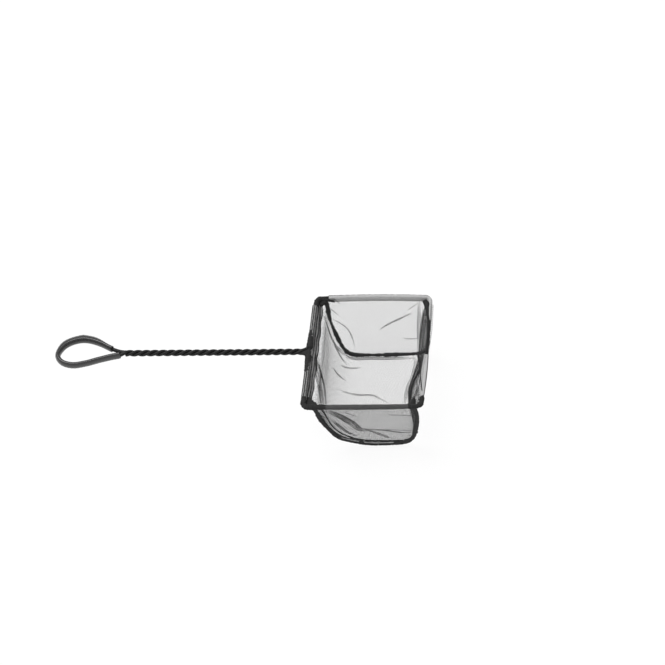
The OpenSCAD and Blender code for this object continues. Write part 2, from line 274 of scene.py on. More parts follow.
# %% Materials
# The stretch of the grain over which a finish swings, by how much its roughness does, and the
# depth of the bumps in metres
GRAIN_RANGE = (0.3, 0.7)
ROUGH_SWING = 0.05
BUMP_DEPTH = 0.0002


def placed_effect(tree, effect, **values):
    """A shared effect in a material, with the material's own values."""
    node = add_node(tree, "ShaderNodeGroup")
    node.node_tree = effect
    for label, value in values.items():
        node.inputs[label].default_value = value
    return node


def finish_material(name, dark, light, rough, grain_scale, bump, specular=0.5, ribs=None, painted_light_grey=None):
    """A matt or satin finish whose colour swings between dark and light with the grain.

    ribs gives the two wave numbers of a weave per millimetre; without it the bump is the grain.
    The last argument is painted light: the paler grey that the finish turns to where the mesh's outer_share
    is 1.
    """
    mat = bpy.data.materials.new(name)
    mat.use_nodes = True
    tree, link = mat.node_tree, mat.node_tree.links.new
    shader = tree.nodes["Principled BSDF"]
    shader.inputs["Specular IOR Level"].default_value = specular
    grain = placed_effect(tree, GRAIN, Scale=grain_scale)
    ramp = add_node(tree, "ShaderNodeValToRGB")
    for element, place, grey in zip(ramp.color_ramp.elements, GRAIN_RANGE, (dark, light)):
        element.position = place
        element.color = (grey, grey, grey, 1)
    link(grain.outputs["Grain"], ramp.inputs["Fac"])
    colour = ramp.outputs["Color"]
    # Painted light: towards outer_share 1 the colour is mixed to the paler grey
    if painted_light_grey:
        outer = add_node(tree, "ShaderNodeAttribute")
        outer.attribute_name = "outer_share"
        painted_light_mix = add_node(tree, "ShaderNodeMixRGB", Color2=(painted_light_grey, painted_light_grey, painted_light_grey, 1))
        link(outer.outputs["Fac"], painted_light_mix.inputs["Fac"])
        link(colour, painted_light_mix.inputs["Color1"])
        colour = painted_light_mix.outputs["Color"]
    link(colour, shader.inputs["Base Color"])
    spread = add_node(
        tree, "ShaderNodeMapRange", From_Min=GRAIN_RANGE[0], From_Max=GRAIN_RANGE[1],
        To_Min=rough - ROUGH_SWING, To_Max=rough + ROUGH_SWING
    )
    link(grain.outputs["Grain"], spread.inputs["Value"])
    link(spread.outputs["Result"], shader.inputs["Roughness"])
    raised = add_node(tree, "ShaderNodeBump", Strength=bump, Distance=BUMP_DEPTH)
    height = grain.outputs["Grain"]
    if ribs:
        height = placed_effect(tree, RIBS, Along=ribs[0], Across=ribs[1]).outputs["Height"]
    link(height, raised.inputs["Height"])
    link(raised.outputs["Normal"], shader.inputs["Normal"])
    return mat


COAT = finish_material("black_vinyl_coat", 0.009, 0.013, 0.42, 700.0, 0.12, specular=0.13)
# The sleeve's paler outer side is painted light
SLEEVE = finish_material("soft_vinyl_sleeve", 0.008, 0.016, 0.28, 500.0, 0.2, specular=0.5, painted_light_grey=0.03)
YARN = finish_material("nylon_yarn", 0.015, 0.028, 0.6, 1500.0, 0.1, specular=0.3)
TAPE = finish_material("binding_tape", 0.03, 0.06, 0.75, 1100.0, 0.6, specular=0.2, ribs=(7.0, 9.0))
HEM = finish_material("gathered_hem", 0.035, 0.075, 0.8, 1300.0, 0.6, specular=0.25, ribs=(6.0, 8.0))
CORD = finish_material("gathering_cord", 0.01, 0.022, 0.7, 1100.0, 0.5, specular=0.2, ribs=(8.0, 8.0))
BAND = finish_material("band_cloth", 0.11, 0.3, 0.85, 1300.0, 0.6, specular=0.2, ribs=(6.0, 8.0))
# The same black nylon as the hem, drawn pale grey: painted light where the hem catches it
PAINTED_LIGHT_HEM = finish_material("painted_light_hem", 0.3, 0.48, 0.85, 1300.0, 0.6, specular=0.25, ribs=(6.0, 8.0))
STITCH = finish_material("stitching_thread", 0.012, 0.022, 0.5, 1800.0, 0.1, specular=0.35)
print("finishes:", [mat.name for mat in bpy.data.materials])

# %% [markdown]
# ## Curves
#
# A path is an array of points, one row each. Round stretches are arcs and helices. The
# loop and the seams go through a few chosen points on a Catmull-Rom curve, which passes
# through every point and takes its heading there from the two neighbours. Curve objects
# would do for single tubes. An array can be cut, moved and measured, and the wire, the
# sleeve, the hems and the cords can all share one.


# %% Curve helpers
def unit(v):
    """v with each row divided by its length."""
    return v / np.maximum(np.linalg.norm(v, axis=-1, keepdims=True), 1e-12)


def through(points, t):
    """A Catmull-Rom curve through points, at t from 0 to 1: on each stretch a cubic of the four nearest."""
    points = np.asarray(points, float)
    padded = np.vstack([2 * points[0] - points[1], points, 2 * points[-1] - points[-2]])
    at = np.clip(np.asarray(t, float), 0, 1) * (len(points) - 1)
    k = np.minimum(at.astype(int), len(points) - 2)
    f = (at - k)[..., None]
    a, b, c, d = (padded[k + i] for i in range(4))
    return b + ((c - a) * f + (2 * a - 5 * b + 4 * c - d) * f**2 + (3 * b - a - 3 * c + d) * f**3) / 2


def curve(points, count=60):
    """The Catmull-Rom curve through a few points, as count points."""
    return through(points, np.linspace(0, 1, count))


def leaned(x, y, z):
    """A point of the mouth, whose far rail has slid along the handle in proportion to y."""
    x, y, z = np.broadcast_arrays(x, y, z)
    return np.stack([x + MOUTH_LEAN * y / MOUTH_W, y, z], axis=-1).astype(float)


def on_mouth(*rows):
    """Points of the mouth, each given as its x, y and z."""
    return leaned(*np.array(rows, float).T)


def headings(path):
    """The direction of a path at each of its points, from its neighbours."""
    return unit(np.gradient(path, axis=0))


def distances(path):
    """How far along a path each of its points lies: the sum of the steps up to it."""
    return np.concatenate([[0], np.cumsum(np.linalg.norm(np.diff(path, axis=0), axis=1))])


# How far apart the rings of a tube stand on hems, tapes and cords, and where the shape is fine
HEM_STEP, TAPE_STEP, CORD_STEP, FINE_STEP = 0.8, 0.7, 0.6, 0.5


def length_mm(path):
    """The length of a path in millimetres, to print."""
    return round(float(distances(path)[-1]), 1)


def evenly(path, step):
    """The same path with points about step apart, on the straight lines between its own."""
    along = distances(path)
    at = np.linspace(0, along[-1], max(3, int(along[-1] / step) + 1))
    return np.stack([np.interp(at, along, path[:, k]) for k in range(3)], axis=1)


def soft_step(x):
    """0 below 0, 1 above 1 and x^2 (3 - 2x) between."""
    x = np.clip(x, 0, 1)
    return x * x * (3 - 2 * x)


print("curve helpers ready")

# %% The path of the wire
PITCH = TWIST_L / TWIST_TURNS
STRANDS = 3
RINGS_PER_TURN = 30
# The lay is the strands' angle to the handle, and makes each one's cut across the handle an oval.
# STRAND_R is how far they stand from the handle's middle line to keep STRAND_GAP between them
lay = np.arctan(np.pi * 4 * WIRE_R / np.sqrt(STRANDS) / PITCH)
stretch = np.hypot(np.cos(np.pi / 6) / np.cos(lay), np.sin(np.pi / 6))
STRAND_R = (2 * WIRE_R * stretch + STRAND_GAP) / np.sqrt(STRANDS)
SLOPE = 2 * np.pi * STRAND_R / PITCH
THROAT_X, CROTCH_X = -THROAT_L, -THROAT_L - TWIST_L
# The phases of the strand that goes out, of the one that comes back and of the last one, in degrees
OUT, BACK, LAST = 330.0, 90.0, 210.0
# How fast the bends at the throat leave and arrive, as a share of its length and width together
THROAT_PULL = 0.75
# Shares of the loop's length, counted from the crotch, and of half its width
LOOP_SHARES = [
    (0.1, 0.16), (0.22, 0.37), (0.4, 0.81), (0.6, 1.07), (0.77, 0.97), (0.92, 0.56), (1, -0.14),
    (0.93, -0.68), (0.77, -0.9), (0.58, -0.76), (0.4, -0.51), (0.22, -0.29), (0.09, -0.19),
]
# By this share of its length the loop has come level
LEVEL_SHARE = 0.3
# The straight parts of the rails: half of one across the handle, and the whole of one along it
STRAIGHT = MOUTH_W / 2 - CORNER_R
ALONG_RAIL = MOUTH_L - 2 * CORNER_R
print("strands", round(STRAND_R, 2), "mm from the handle's middle, lay", round(np.degrees(lay), 1), "degrees")


# %% The twist and the loop
def strand(phase, x):
    """A helix about the handle: the angle falls by one turn for each pitch along x."""
    turn = np.radians(phase) + 2 * np.pi * (THROAT_X - x) / PITCH
    return np.stack([x, STRAND_R * np.cos(turn), STRAND_R * np.sin(turn)], axis=-1)


def strand_heading(phase):
    """The helix's direction at the throat, towards the mouth."""
    turn = np.radians(phase)
    return np.array([1, SLOPE * np.sin(turn), -SLOPE * np.cos(turn)])


def hermite(a, leaving, b, arriving, steps):
    """A cubic from a to b with the given velocities at its ends, without its end points."""
    t = np.linspace(0, 1, steps + 1)[1:-1, None]
    return (
        a * (2 * t**3 - 3 * t**2 + 1) + leaving * (t**3 - 2 * t**2 + t)
        + b * (3 * t**2 - 2 * t**3) + arriving * (t**3 - t**2)
    )


def loop_path():
    """The grip loop, from the crotch by its far branch to the crotch again."""
    points = []
    for along, out_share in LOOP_SHARES:
        rise = (1 - along / LEVEL_SHARE) ** 2 if along < LEVEL_SHARE else 0
        height = strand(OUT if out_share > 0 else BACK, np.array(CROTCH_X))[2] * rise
        points.append([CROTCH_X - along * LOOP_L, out_share * LOOP_W / 2, height])
    ends = np.array([CROTCH_X + PITCH / 12, CROTCH_X])
    points = np.vstack([strand(OUT, ends), points, strand(BACK, ends[::-1])])
    inner = 1 / (len(points) - 1)
    return through(points, np.linspace(inner, 1 - inner, 150))


print("loop", length_mm(loop_path()), "mm round")


# %% The mouth and the whole wire
def rail(side, t):
    """A rail of the mouth; t is 0 and 1 where it meets its corner bends."""
    t = np.asarray(t, float)
    along = CORNER_R + ALONG_RAIL * t
    over = (2 * t - 1) * STRAIGHT
    bow = RAIL_BOW * 4 * t * (1 - t)
    if side == "far":
        return leaned(along, MOUTH_W / 2 + bow, 0)
    if side == "near":
        return leaned(along, -MOUTH_W / 2, 0)
    return leaned(MOUTH_L + bow, over, 0) if side == "end" else leaned(0, over, 0)


def corner(x_side, y_side, start, steps=8):
    """A quarter circle between two rails, leaned with the mouth."""
    turn = np.radians(start - 90 * np.arange(1, steps) / steps)
    x = CORNER_R if x_side < 0 else MOUTH_L - CORNER_R
    return leaned(x + CORNER_R * np.cos(turn), y_side * STRAIGHT + CORNER_R * np.sin(turn), 0)


def wire_path():
    """The whole wire: handle, loop, handle, mouth and handle again."""
    x = np.linspace(CROTCH_X, THROAT_X, TWIST_TURNS * RINGS_PER_TURN + 1)
    reach = (THROAT_L + THROAT_W) * THROAT_PULL
    heading = unit(leaned(0, 1, 0))
    first, far_start, near_start = (strand(phase, np.array(THROAT_X)) for phase in (OUT, BACK, LAST))
    bends = []
    for start, phase, side in ((far_start, BACK, 1), (near_start, LAST, -1)):
        on_rail, way = leaned(0, side * THROAT_W, 0), side * heading
        bends.append(hermite(start, strand_heading(phase) * reach, on_rail, way * reach, 14))
    far_bend, near_bend = bends
    run = np.linspace(0, 1, 16)
    half = np.linspace(THROAT_W, STRAIGHT, 6)
    return np.vstack([
        first + strand_heading(OUT) * FIRST_END, strand(OUT, x[::-1]), loop_path()[1:-1],
        strand(BACK, x), far_bend, leaned(0, half, 0), corner(-1, 1, 180), rail("far", run), corner(1, 1, 90),
        rail("end", run[::-1]), corner(1, -1, 0), rail("near", run[::-1]), corner(-1, -1, 270),
        leaned(0, -half[::-1], 0), near_bend[::-1], strand(LAST, x[::-1]),
    ])


WIRE = wire_path()
print("wire", len(WIRE), "rings,", length_mm(WIRE), "mm")

# %% [markdown]
# ## From arrays to meshes
#
# A tube is a ring of points carried along a path. The ring stands square to the path, and
# a reference direction, such as straight up, keeps it from turning round it. A surface is
# a grid of points. Both get a UV map in millimetres along and round the piece, so that
# woven and stitched patterns follow the cloth. Modifiers can carry a ring along a path
# too, but here the ring's width and height may change at every point and every angle,
# which makes creases, gathers and knots of one and the same tube.


# %% Pieces and grids
def piece(name, points, polygons, material, uv=None):
    """A smooth piece in metres, from points in millimetres and arrays of polygons by their corners."""
    corners = np.concatenate([p.ravel() for p in polygons])
    sizes = np.concatenate([np.full(len(p), p.shape[1]) for p in polygons])
    used, corners = np.unique(corners, return_inverse=True)
    mesh = bpy.data.meshes.new(name)
    mesh.vertices.add(len(used))
    mesh.vertices.foreach_set("co", to_world(points[used]).ravel())
    mesh.loops.add(len(corners))
    mesh.loops.foreach_set("vertex_index", corners.astype(np.int32))
    mesh.polygons.add(len(sizes))
    mesh.polygons.foreach_set("loop_start", (np.cumsum(sizes) - sizes).astype(np.int32))
    mesh.polygons.foreach_set("use_smooth", np.ones(len(sizes), bool))
    if uv is not None:
        layer = mesh.uv_layers.new(name="along_round_mm")
        layer.data.foreach_set("uv", uv[used][corners].astype(float).ravel())
    mesh.materials.append(material)
    mesh.update(calc_edges=True)
    obj = bpy.data.objects.new(name, mesh)
    bpy.context.collection.objects.link(obj)
    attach(obj, ROOT)
    return obj


def grid_quads(rows, cols, closed=False, flip=False, start=0):
    """Quads of a grid of points, closed round its columns if asked."""
    i, j = np.meshgrid(np.arange(rows - 1), np.arange(cols if closed else cols - 1), indexing="ij")
    k = (j + 1) % cols
    corners = (i * cols + j, (i + 1) * cols + j, (i + 1) * cols + k, i * cols + k)
    quads = np.stack(corners, axis=-1).reshape(-1, 4)
    return (quads[:, ::-1] if flip else quads) + start


print("mesh helpers ready")


# %% Rings round a path
def frames(path, ref=(0, 0, 1)):
    """The sideways and upward directions at each point of a path, both square to it."""
    heading = headings(path)
    side = unit(np.cross(heading, np.asarray(ref, float)))
    return side, np.cross(side, heading)


def ring_angles(sides):
    """The angles of a ring's points, as one row."""
    return np.linspace(0, 2 * np.pi, sides, endpoint=False)[None, :]


def around(path, a, b, sides, ref=(0, 0, 1)):
    """Rings of points: path + side * a * cos + rise * b * sin, with a and b for each ring and angle."""
    turn = ring_angles(sides)
    side, rise = frames(path, ref)
    wide = np.broadcast_to(a, (len(path), sides)) * np.cos(turn)
    high = np.broadcast_to(b, (len(path), sides)) * np.sin(turn)
    return path[:, None] + side[:, None] * wide[..., None] + rise[:, None] * high[..., None]


def tube_uv(path, radius, sides):
    """A UV map in millimetres, along a tube and round it."""
    grid = np.meshgrid(distances(path), ring_angles(sides)[0] * radius, indexing="ij")
    return np.stack(grid, axis=-1).reshape(-1, 2)


def rounded_ends(path, radius, *halves, steps=3):
    """The path carried on past either end by a quarter circle of the radius, and its half widths with it."""
    turn = np.linspace(0, np.pi / 2, steps + 1)[1:]
    first, last = headings(path)[[0, -1]]
    head = path[0] - first * radius * np.sin(turn)[::-1, None]
    tail = path[-1] + last * radius * np.sin(turn)[:, None]
    wide = np.maximum(np.cos(turn), 0.05)
    narrowing = np.concatenate([wide[::-1], np.ones(len(path)), wide])[:, None]
    halves = [np.pad(half, ((steps, steps), (0, 0)), mode="edge") * narrowing for half in halves]
    return np.vstack([head, path, tail]), *halves


print("ring helpers ready")


# %% Tubes, bundles and sleeves
def bar(name, path, a, b, sides, material, ref=(0, 0, 1), round_ends=True):
    """A solid tube along a path, with half width a and half height b, and round ends."""
    a, b = (np.broadcast_to(half, (len(path), sides)) for half in (a, b))
    if round_ends:
        path, a, b = rounded_ends(path, float(np.minimum(a, b).mean()), a, b)
    points = around(path, a, b, sides, ref).reshape(-1, 3)
    ring = np.arange(sides)[None, :]
    caps = [ring, (len(path) - 1) * sides + ring[:, ::-1]]
    faces = [grid_quads(len(path), sides, True), *caps]
    return piece(name, points, faces, material, tube_uv(path, a.mean(), sides))


def bundle(name, lines, radii, sides, material):
    """Several round cords as one piece, each with its line and the radius along it.

    The UV map is the plan of the points, so the twist of the yarn runs straight across thin cords.
    """
    points, quads, caps, start = [], [], [], 0
    for line, radius in zip(lines, radii):
        thick = np.broadcast_to(radius, (len(line), 1))
        path, thick = rounded_ends(line, float(thick.mean()), thick)
        points.append(around(path, thick, thick, sides).reshape(-1, 3))
        quads.append(grid_quads(len(path), sides, True, False, start))
        ring = start + np.arange(sides)
        caps += [ring, ring[::-1] + (len(path) - 1) * sides]
        start += len(path) * sides
    points = np.concatenate(points)
    return piece(name, points, [np.concatenate(quads), np.array(caps)], material, points[:, :2])


def sleeve(name, path, a, b, wall, sides, material):
    """A hollow tube with an even wall and open ends: an outer and an inner tube, joined at two rims."""
    outer, inner = around(path, a, b, sides), around(path, a - wall, b - wall, sides)
    rows, half = len(path), len(path) * sides
    uv = tube_uv(path, float(np.mean(a)), sides)
    j = np.arange(sides)
    k = (j + 1) % sides
    start_rim = np.stack([j, k, k + half, j + half], axis=-1)
    end_rim = start_rim[:, ::-1] + (rows - 1) * sides
    points = np.concatenate([outer.reshape(-1, 3), inner.reshape(-1, 3)])
    faces = [grid_quads(rows, sides, True), grid_quads(rows, sides, True, True, half), start_rim, end_rim]
    return piece(name, points, faces, material, np.concatenate([uv, uv]))


print("tube helpers ready")

# %% Unevenness, and the sides of cords
# How many points a cord has round it
CORD_SIDES, THICK_CORD_SIDES = 8, 10


def ripple(seed, length, size, knots=12):
    """Smooth unevenness along a piece: a third of a sum of eight sines with random phases, times size."""
    dice = np.random.default_rng(seed)
    waves = dice.uniform(0.5, knots, 8)[:, None]
    phases = dice.uniform(0, 2 * np.pi, 8)[:, None]
    t = np.linspace(0, 1, length)[None, :]
    return (np.sin(2 * np.pi * waves * t + phases).sum(axis=0) / 3 * size)[:, None]


print("ripples about", round(float(np.abs(ripple(1, 500, 1.0)).max()), 1), "times their size at most")

# %% [markdown]
# ## The wire and the grip sleeve
#
# The wire is drawn once, from its first end at the throat round the loop and the mouth
# to its second end, just as it was bent. The sleeve is a length of soft oval tube that
# was pushed over the loop before the strands were twisted. It creases a little where the
# loop bends tightest. Where the loop's branches leave it, a short collar doubles the coat.
# A curve object with a round bevel would also give a wire. Rings worked out along the path
# give the same rings as the construction model has, and the sleeve can bulge on one side.

# %% The frame wire
WIRE_SIDES = 20
wire = bar("coated_frame_wire", WIRE, WIRE_R, WIRE_R, WIRE_SIDES, COAT, round_ends=False)
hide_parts("frame_wire")
print("wire piece", len(wire.data.polygons), "faces")

# %% The grip sleeve
SLEEVE_SIDES = 32
# The soft tube bulges where the far branch bends: by BULGE, which rises and falls over the given
# stretches in millimetres along the sleeve, and by PEAK about one place
BULGE, RISING, FALLING = 2.5, (6, 16), (44, 22)
PEAK, PEAK_AT, PEAK_REACH = 0.7, 31, 3
loop = loop_path()
bare = np.where(loop[:, 1] > 0, BARE_FAR, BARE_NEAR)
sleeve_path = evenly(loop[loop[:, 0] <= CROTCH_X - bare], HEM_STEP)
gone = distances(sleeve_path)[:, None]
turn = ring_angles(SLEEVE_SIDES)
outer = np.maximum(np.cos(turn), 0)
creased = 0.1 * np.sin(gone * 2.1) * outer + ripple(3, len(sleeve_path), 0.05)
risen, fallen = (soft_step((gone - start) / reach) for start, reach in (RISING, FALLING))
bulge = BULGE * risen * (1 - fallen) + PEAK * np.exp(-(((gone - PEAK_AT) / PEAK_REACH) ** 2))
grip = sleeve(
    "soft_grip_sleeve", sleeve_path, SLEEVE_W / 2 + creased * 0.6 + bulge * outer, SLEEVE_H / 2 + creased,
    SLEEVE_WALL, SLEEVE_SIDES, SLEEVE
)
# The loop's outer side is drawn paler, as painted light
share = np.broadcast_to(soft_step((np.cos(turn) - 0.3) * 2.5), (len(sleeve_path), SLEEVE_SIDES)).ravel()
layer = grip.data.attributes.new("outer_share", "FLOAT", "POINT")
layer.data.foreach_set("value", np.concatenate([share, share]))
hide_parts("grip_sleeve")
print("sleeve", length_mm(sleeve_path), "mm long")

# %% The collars on the bare ends of the loop
COLLAR_R = 1.9
COLLAR_TUCKED = 3
bare_ends = [
    evenly(loop[(loop[:, 0] > CROTCH_X - length - COLLAR_TUCKED) & (loop[:, 1] * side > 0)], CORD_STEP)
    for side, length in ((1, BARE_FAR), (-1, BARE_NEAR))
]
collars = bundle("loop_collars", bare_ends, [COLLAR_R, COLLAR_R], 16, COAT)
print("collars", [length_mm(path) for path in bare_ends], "mm long")

# %% [markdown]
# ## The bag's surfaces
#
# The bag has two side panels and one long strip, the wrap, that runs from the handle-side
# rail down, along the bottom and up to the end rail. The seams between them are curves
# given by shares of the mouth's length and of the bag's depth. The wrap is the surface
# between the two seams, and bags out along a middle line. A simulation could hang the
# bag, but here its seams stay where they were measured. The end side of the far seam
# stands up to 5 mm nearer the end rail than in the construction model, and the top of the
# end wall a millimetre or two, because the real cloth is drawn out to the rail there.

# %% Seams
FAR_SEAM = [
    (0.085, 0.036), (0.098, 0.15), (0.125, 0.39), (0.185, 0.66), (0.25, 0.88), (0.33, 0.985), (0.5, 1),
    (0.72, 0.995), (0.935, 0.97), (0.995, 0.87), (1, 0.6), (0.99, 0.3), (0.97, 0.15), (0.94, 0.036),
]
NEAR_SEAM = [
    (0.095, 0.036), (0.112, 0.13), (0.15, 0.35), (0.215, 0.6), (0.29, 0.8), (0.4, 0.905), (0.55, 0.985),
    (0.73, 0.99), (0.88, 0.95), (0.945, 0.82), (0.965, 0.55), (0.97, 0.27), (0.955, 0.13), (0.935, 0.036),
]
# The middle line, and how much further along the handle than there the wrap lies on its far side,
# and less far on its near one
MIDDLE = [
    (0, 0.031, 0), (0.085, 0.12, 0), (0.12, 0.34, 0), (0.165, 0.62, 0), (0.25, 0.87, 0), (0.36, 0.99, 0),
    (0.53, 1.02, 0), (0.74, 1.015, 0), (0.92, 0.975, 0), (0.97, 0.84, 0.015), (0.945, 0.57, 0.035),
    (0.92, 0.28, 0.035), (0.93, 0.11, 0.01), (1, 0.031, 0),
]
# How squarely the netting turns to the seams: below, and up at the rails
FULLNESS, RAIL_FULLNESS, RAIL_SHARE = 5, 30, 0.3
# The shares of the width between which it crosses from the one to the other
CROSSING = (0.25, 0.55)
# How far up the netting runs, into the hems
TUCKED = 0.02
print(len(FAR_SEAM), "and", len(NEAR_SEAM), "points on the seams,", len(MIDDLE), "on the middle line")


# %% The surfaces between the seams
def seam_points(shares, side, top=None):
    """The seam's points: at share b of the depth the panel has come in by b of the taper."""
    a, b = np.array(shares).T
    if top is not None:
        b = np.concatenate([[top], b[1:-1], [top]])
    return leaned(a * MOUTH_L, side * (MOUTH_W / 2 - BAG_TAPER * b), -b * BAG_DEPTH)


def wrap_surface(t, q):
    """The wrap at t from the handle side to the end, and q from the near seam to the far one.

    It is the straight line between the seams, moved out to the middle line by 1 - |2q - 1|^fullness.
    Fullness is greater up at the rails, so that the top edge follows them into the corners.
    """
    near = through(seam_points(NEAR_SEAM, -1, TUCKED), t)
    far = through(seam_points(FAR_SEAM, 1, TUCKED), t)
    middle = np.array([(a * MOUTH_L, skew * MOUTH_L, -b * BAG_DEPTH) for a, b, skew in MIDDLE])
    middle[[0, -1], 2] = -TUCKED * BAG_DEPTH
    half = (near + far) / 2
    line = through(middle, t)
    full = FULLNESS + (RAIL_FULLNESS - FULLNESS) * (1 - soft_step(-line[..., 2] / (RAIL_SHARE * BAG_DEPTH)))
    moved = line - half
    moved[..., 0] += line[..., 1] * (2 * soft_step((q - CROSSING[0]) / (CROSSING[1] - CROSSING[0])) - 1)
    moved[..., 1] = 0
    return near + (far - near) * q[..., None] + moved * (1 - np.abs(2 * q - 1) ** full)[..., None]


def panel_surface(side, x, depth):
    """A side panel's plane, at x along the mouth and depth below the rail."""
    return leaned(x, side * (MOUTH_W / 2 - BAG_TAPER * depth / BAG_DEPTH), -depth)


print("middle of the bottom at", np.round(wrap_surface(np.array([0.5]), np.array([0.5]))[0], 1))

# %% The seams' lines
SEAM_POINTS = 265
FAR_LINE = curve(seam_points(FAR_SEAM, 1), SEAM_POINTS)
NEAR_LINE = curve(seam_points(NEAR_SEAM, -1), SEAM_POINTS)
print("far seam", length_mm(FAR_LINE), "mm, near seam", length_mm(NEAR_LINE), "mm")

# %% [markdown]
# ## Knitted netting
#
# Aquarium netting is knitted from thin nylon thread in small hexagons. Each thread runs
# in a zigzag, and lies beside its neighbours where their zigzags touch. Here every thread
# is drawn as a three-sided prism, which is round enough at a fifth of a millimetre, so
# light passes through the net as it does through the real one: more of it shows as dark
# where the cloth is seen at a slant or lies in folds. A picture of a net on a plain sheet
# would take fewer faces, but wouldn't darken in that way.

# %% Threads on a surface
HEX_SIDE = 0.85
THREAD_R = 0.096


def zigzags(s_range, y_range):
    """Hexagon netting in the plane: the points of each thread, as s and y for thread n and point j.

    A thread goes on by one side, then half a side aslant, and so on. Its neighbours mirror it.
    """
    a, h = HEX_SIDE, HEX_SIDE * np.sqrt(3) / 4 - THREAD_R
    threads = np.arange(int((y_range[1] - y_range[0]) / (a * np.sqrt(3) / 2)))
    steps = np.arange(int((s_range[1] - s_range[0]) / (3 * a)) * 4 + 4)
    s = s_range[0] + (steps // 4) * 3 * a + np.array([0, 1, 1.5, 2.5])[steps % 4] * a
    up = np.where(steps % 4 < 2, 1, -1)[None, :] * np.where(threads % 2 == 0, 1, -1)[:, None]
    y = y_range[0] + threads[:, None] * a * np.sqrt(3) / 2 + up * h
    return np.broadcast_to(s, y.shape), y


def normals(surface, s, y):
    """The direction square to a surface, from two steps on it of a twentieth of a millimetre."""
    here = surface(s, y)
    return unit(np.cross(surface(s + 0.05, y) - here, surface(s, y + 0.05) - here))


def threads(s, y, surface, inside):
    """Threads laid on a surface: at each point a triangle of radius THREAD_R square to the thread."""
    points = surface(s, y)
    normal = normals(surface, s, y)
    along = unit(np.gradient(points, axis=1))
    side = np.cross(along, normal)
    turn = np.radians([90, 210, 330])
    ring = points[:, :, None] + THREAD_R * (
        normal[:, :, None] * np.sin(turn)[:, None] + side[:, :, None] * np.cos(turn)[:, None]
    )
    rows, cols = s.shape
    kept = inside[:, :-1] & inside[:, 1:]
    start = (np.arange(rows)[:, None] * cols + np.arange(cols - 1)[None, :])[kept][:, None] * 3
    k = np.arange(3)
    after = (k + 1) % 3
    quads = np.stack([start + k, start + 3 + k, start + 3 + after, start + after], axis=-1).reshape(-1, 4)
    return ring.reshape(-1, 3), quads


def netting(name, layers):
    """One piece of netting from its layers, each with s, y, the surface and what lies inside."""
    points, quads, start = [], [], 0
    for layer in layers:
        ring, faces = threads(*layer)
        points.append(ring)
        quads.append(faces + start)
        start += len(ring)
    obj = piece(name, np.concatenate(points), [np.concatenate(quads)], YARN)
    print(name, len(layers), "layers,", sum(len(q) for q in quads) * 2, "triangles")
    return obj


def cut_area(inside, s_range, y_range):
    """The area of a flat cut in square metres, from a grid of its square millimetres."""
    s, y = np.meshgrid(np.arange(*s_range) + 0.5, np.arange(*y_range) + 0.5)
    return float(inside(s, y).sum()) * MM**2


def sewn_sheet(obj, node, along, across, area):
    """Says what flat cut, in metres, a piece of netting is sewn from."""
    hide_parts(node)
    print(obj.name, "cut from", round(along / MM), "x", round(across / MM), "mm,", round(area / MM**2), "mm2")


# %% [markdown]
# ## Pleats
#
# Thin netting doesn't lie flat. It falls in pleats, where the cloth is doubled on itself
# and shows darker. A pleat is a flattened tube of netting laid along a line on the cloth.
# One that lies flat is wide and low, and one that stands is narrow and high. Folding the
# netting itself would tear its hexagons where folds cross; a tube laid on it can't.


# %% Laying a pleat
def pleat(surface, points, width, height, girth, out=1.0):
    """A pleat as a layer of netting, with the girth and the line's points in millimetres on the cloth.

    At g round the girth the cloth lies width / 2 sin(2 pi g / girth) beside the line and
    height / 2 (1 + cos(2 pi g / girth)) off it, so the threads crowd at the creases. The pleat
    narrows towards its ends, and its threads end one after another.
    """
    line = curve(points)
    along = distances(line)
    way = headings(line)

    def shape(u, g):
        u = np.clip(u, 0, along[-1])
        s, y, ds, dy = (np.interp(u, along, v) for v in (*line.T, *way.T))
        thin = np.sin(np.pi * (0.05 + 0.9 * u / along[-1])) ** 0.4
        turn = 2 * np.pi * g / girth
        aside = width / 2 * thin * np.sin(turn)
        lift = (0.15 + height / 2 * (1 + np.cos(turn)) * thin) * out
        return surface(s - dy * aside, y + ds * aside) + normals(surface, s, y) * lift[..., None]

    u, g = zigzags((0, along[-1]), (0, girth))
    late = np.arange(len(g))[:, None] * 0.382 % 1 * 0.3 * along[-1]
    return u, g, shape, (u > late) & (u < along[-1] - late[::-1])


def pleats(surface, table, out=1.0):
    """All the pleats of a table, and the area of cloth in them in square metres."""
    layers = [pleat(surface, *row, out) for row in table]
    areas = [np.ptp(u) * row[3] * kept.mean() for (u, g, shape, kept), row in zip(layers, table)]
    return layers, sum(areas) * MM**2


print("pleat helpers ready")

# %% [markdown]
# ## The strip
#
# On the real bag the wrap is one strip of netting, gathered where it is sewn under the
# two rails. Its threads are laid out flat, in millimetres from the handle-side rail and
# across, and then bent onto the wrap's surface. As one mesh it would have more triangles
# than a piece should. So it is three, cut between two rows of hexagons where a cut
# doesn't show.

# %% The strip's length and edges
WRAP_STEPS = 400
WRAP_TABLE = np.linspace(0, 1, WRAP_STEPS)
WRAP_S = distances(wrap_surface(WRAP_TABLE, np.full(WRAP_STEPS, 0.5)))
NEAR_Y, FAR_Y = (wrap_surface(WRAP_TABLE, np.full(WRAP_STEPS, q))[:, 1] for q in (0.0, 1.0))
print("strip", round(WRAP_S[-1], 1), "mm from rail to rail")

# %% The pleats of the strip
# How far inside the seams the threads end
SEWN_IN = 0.5
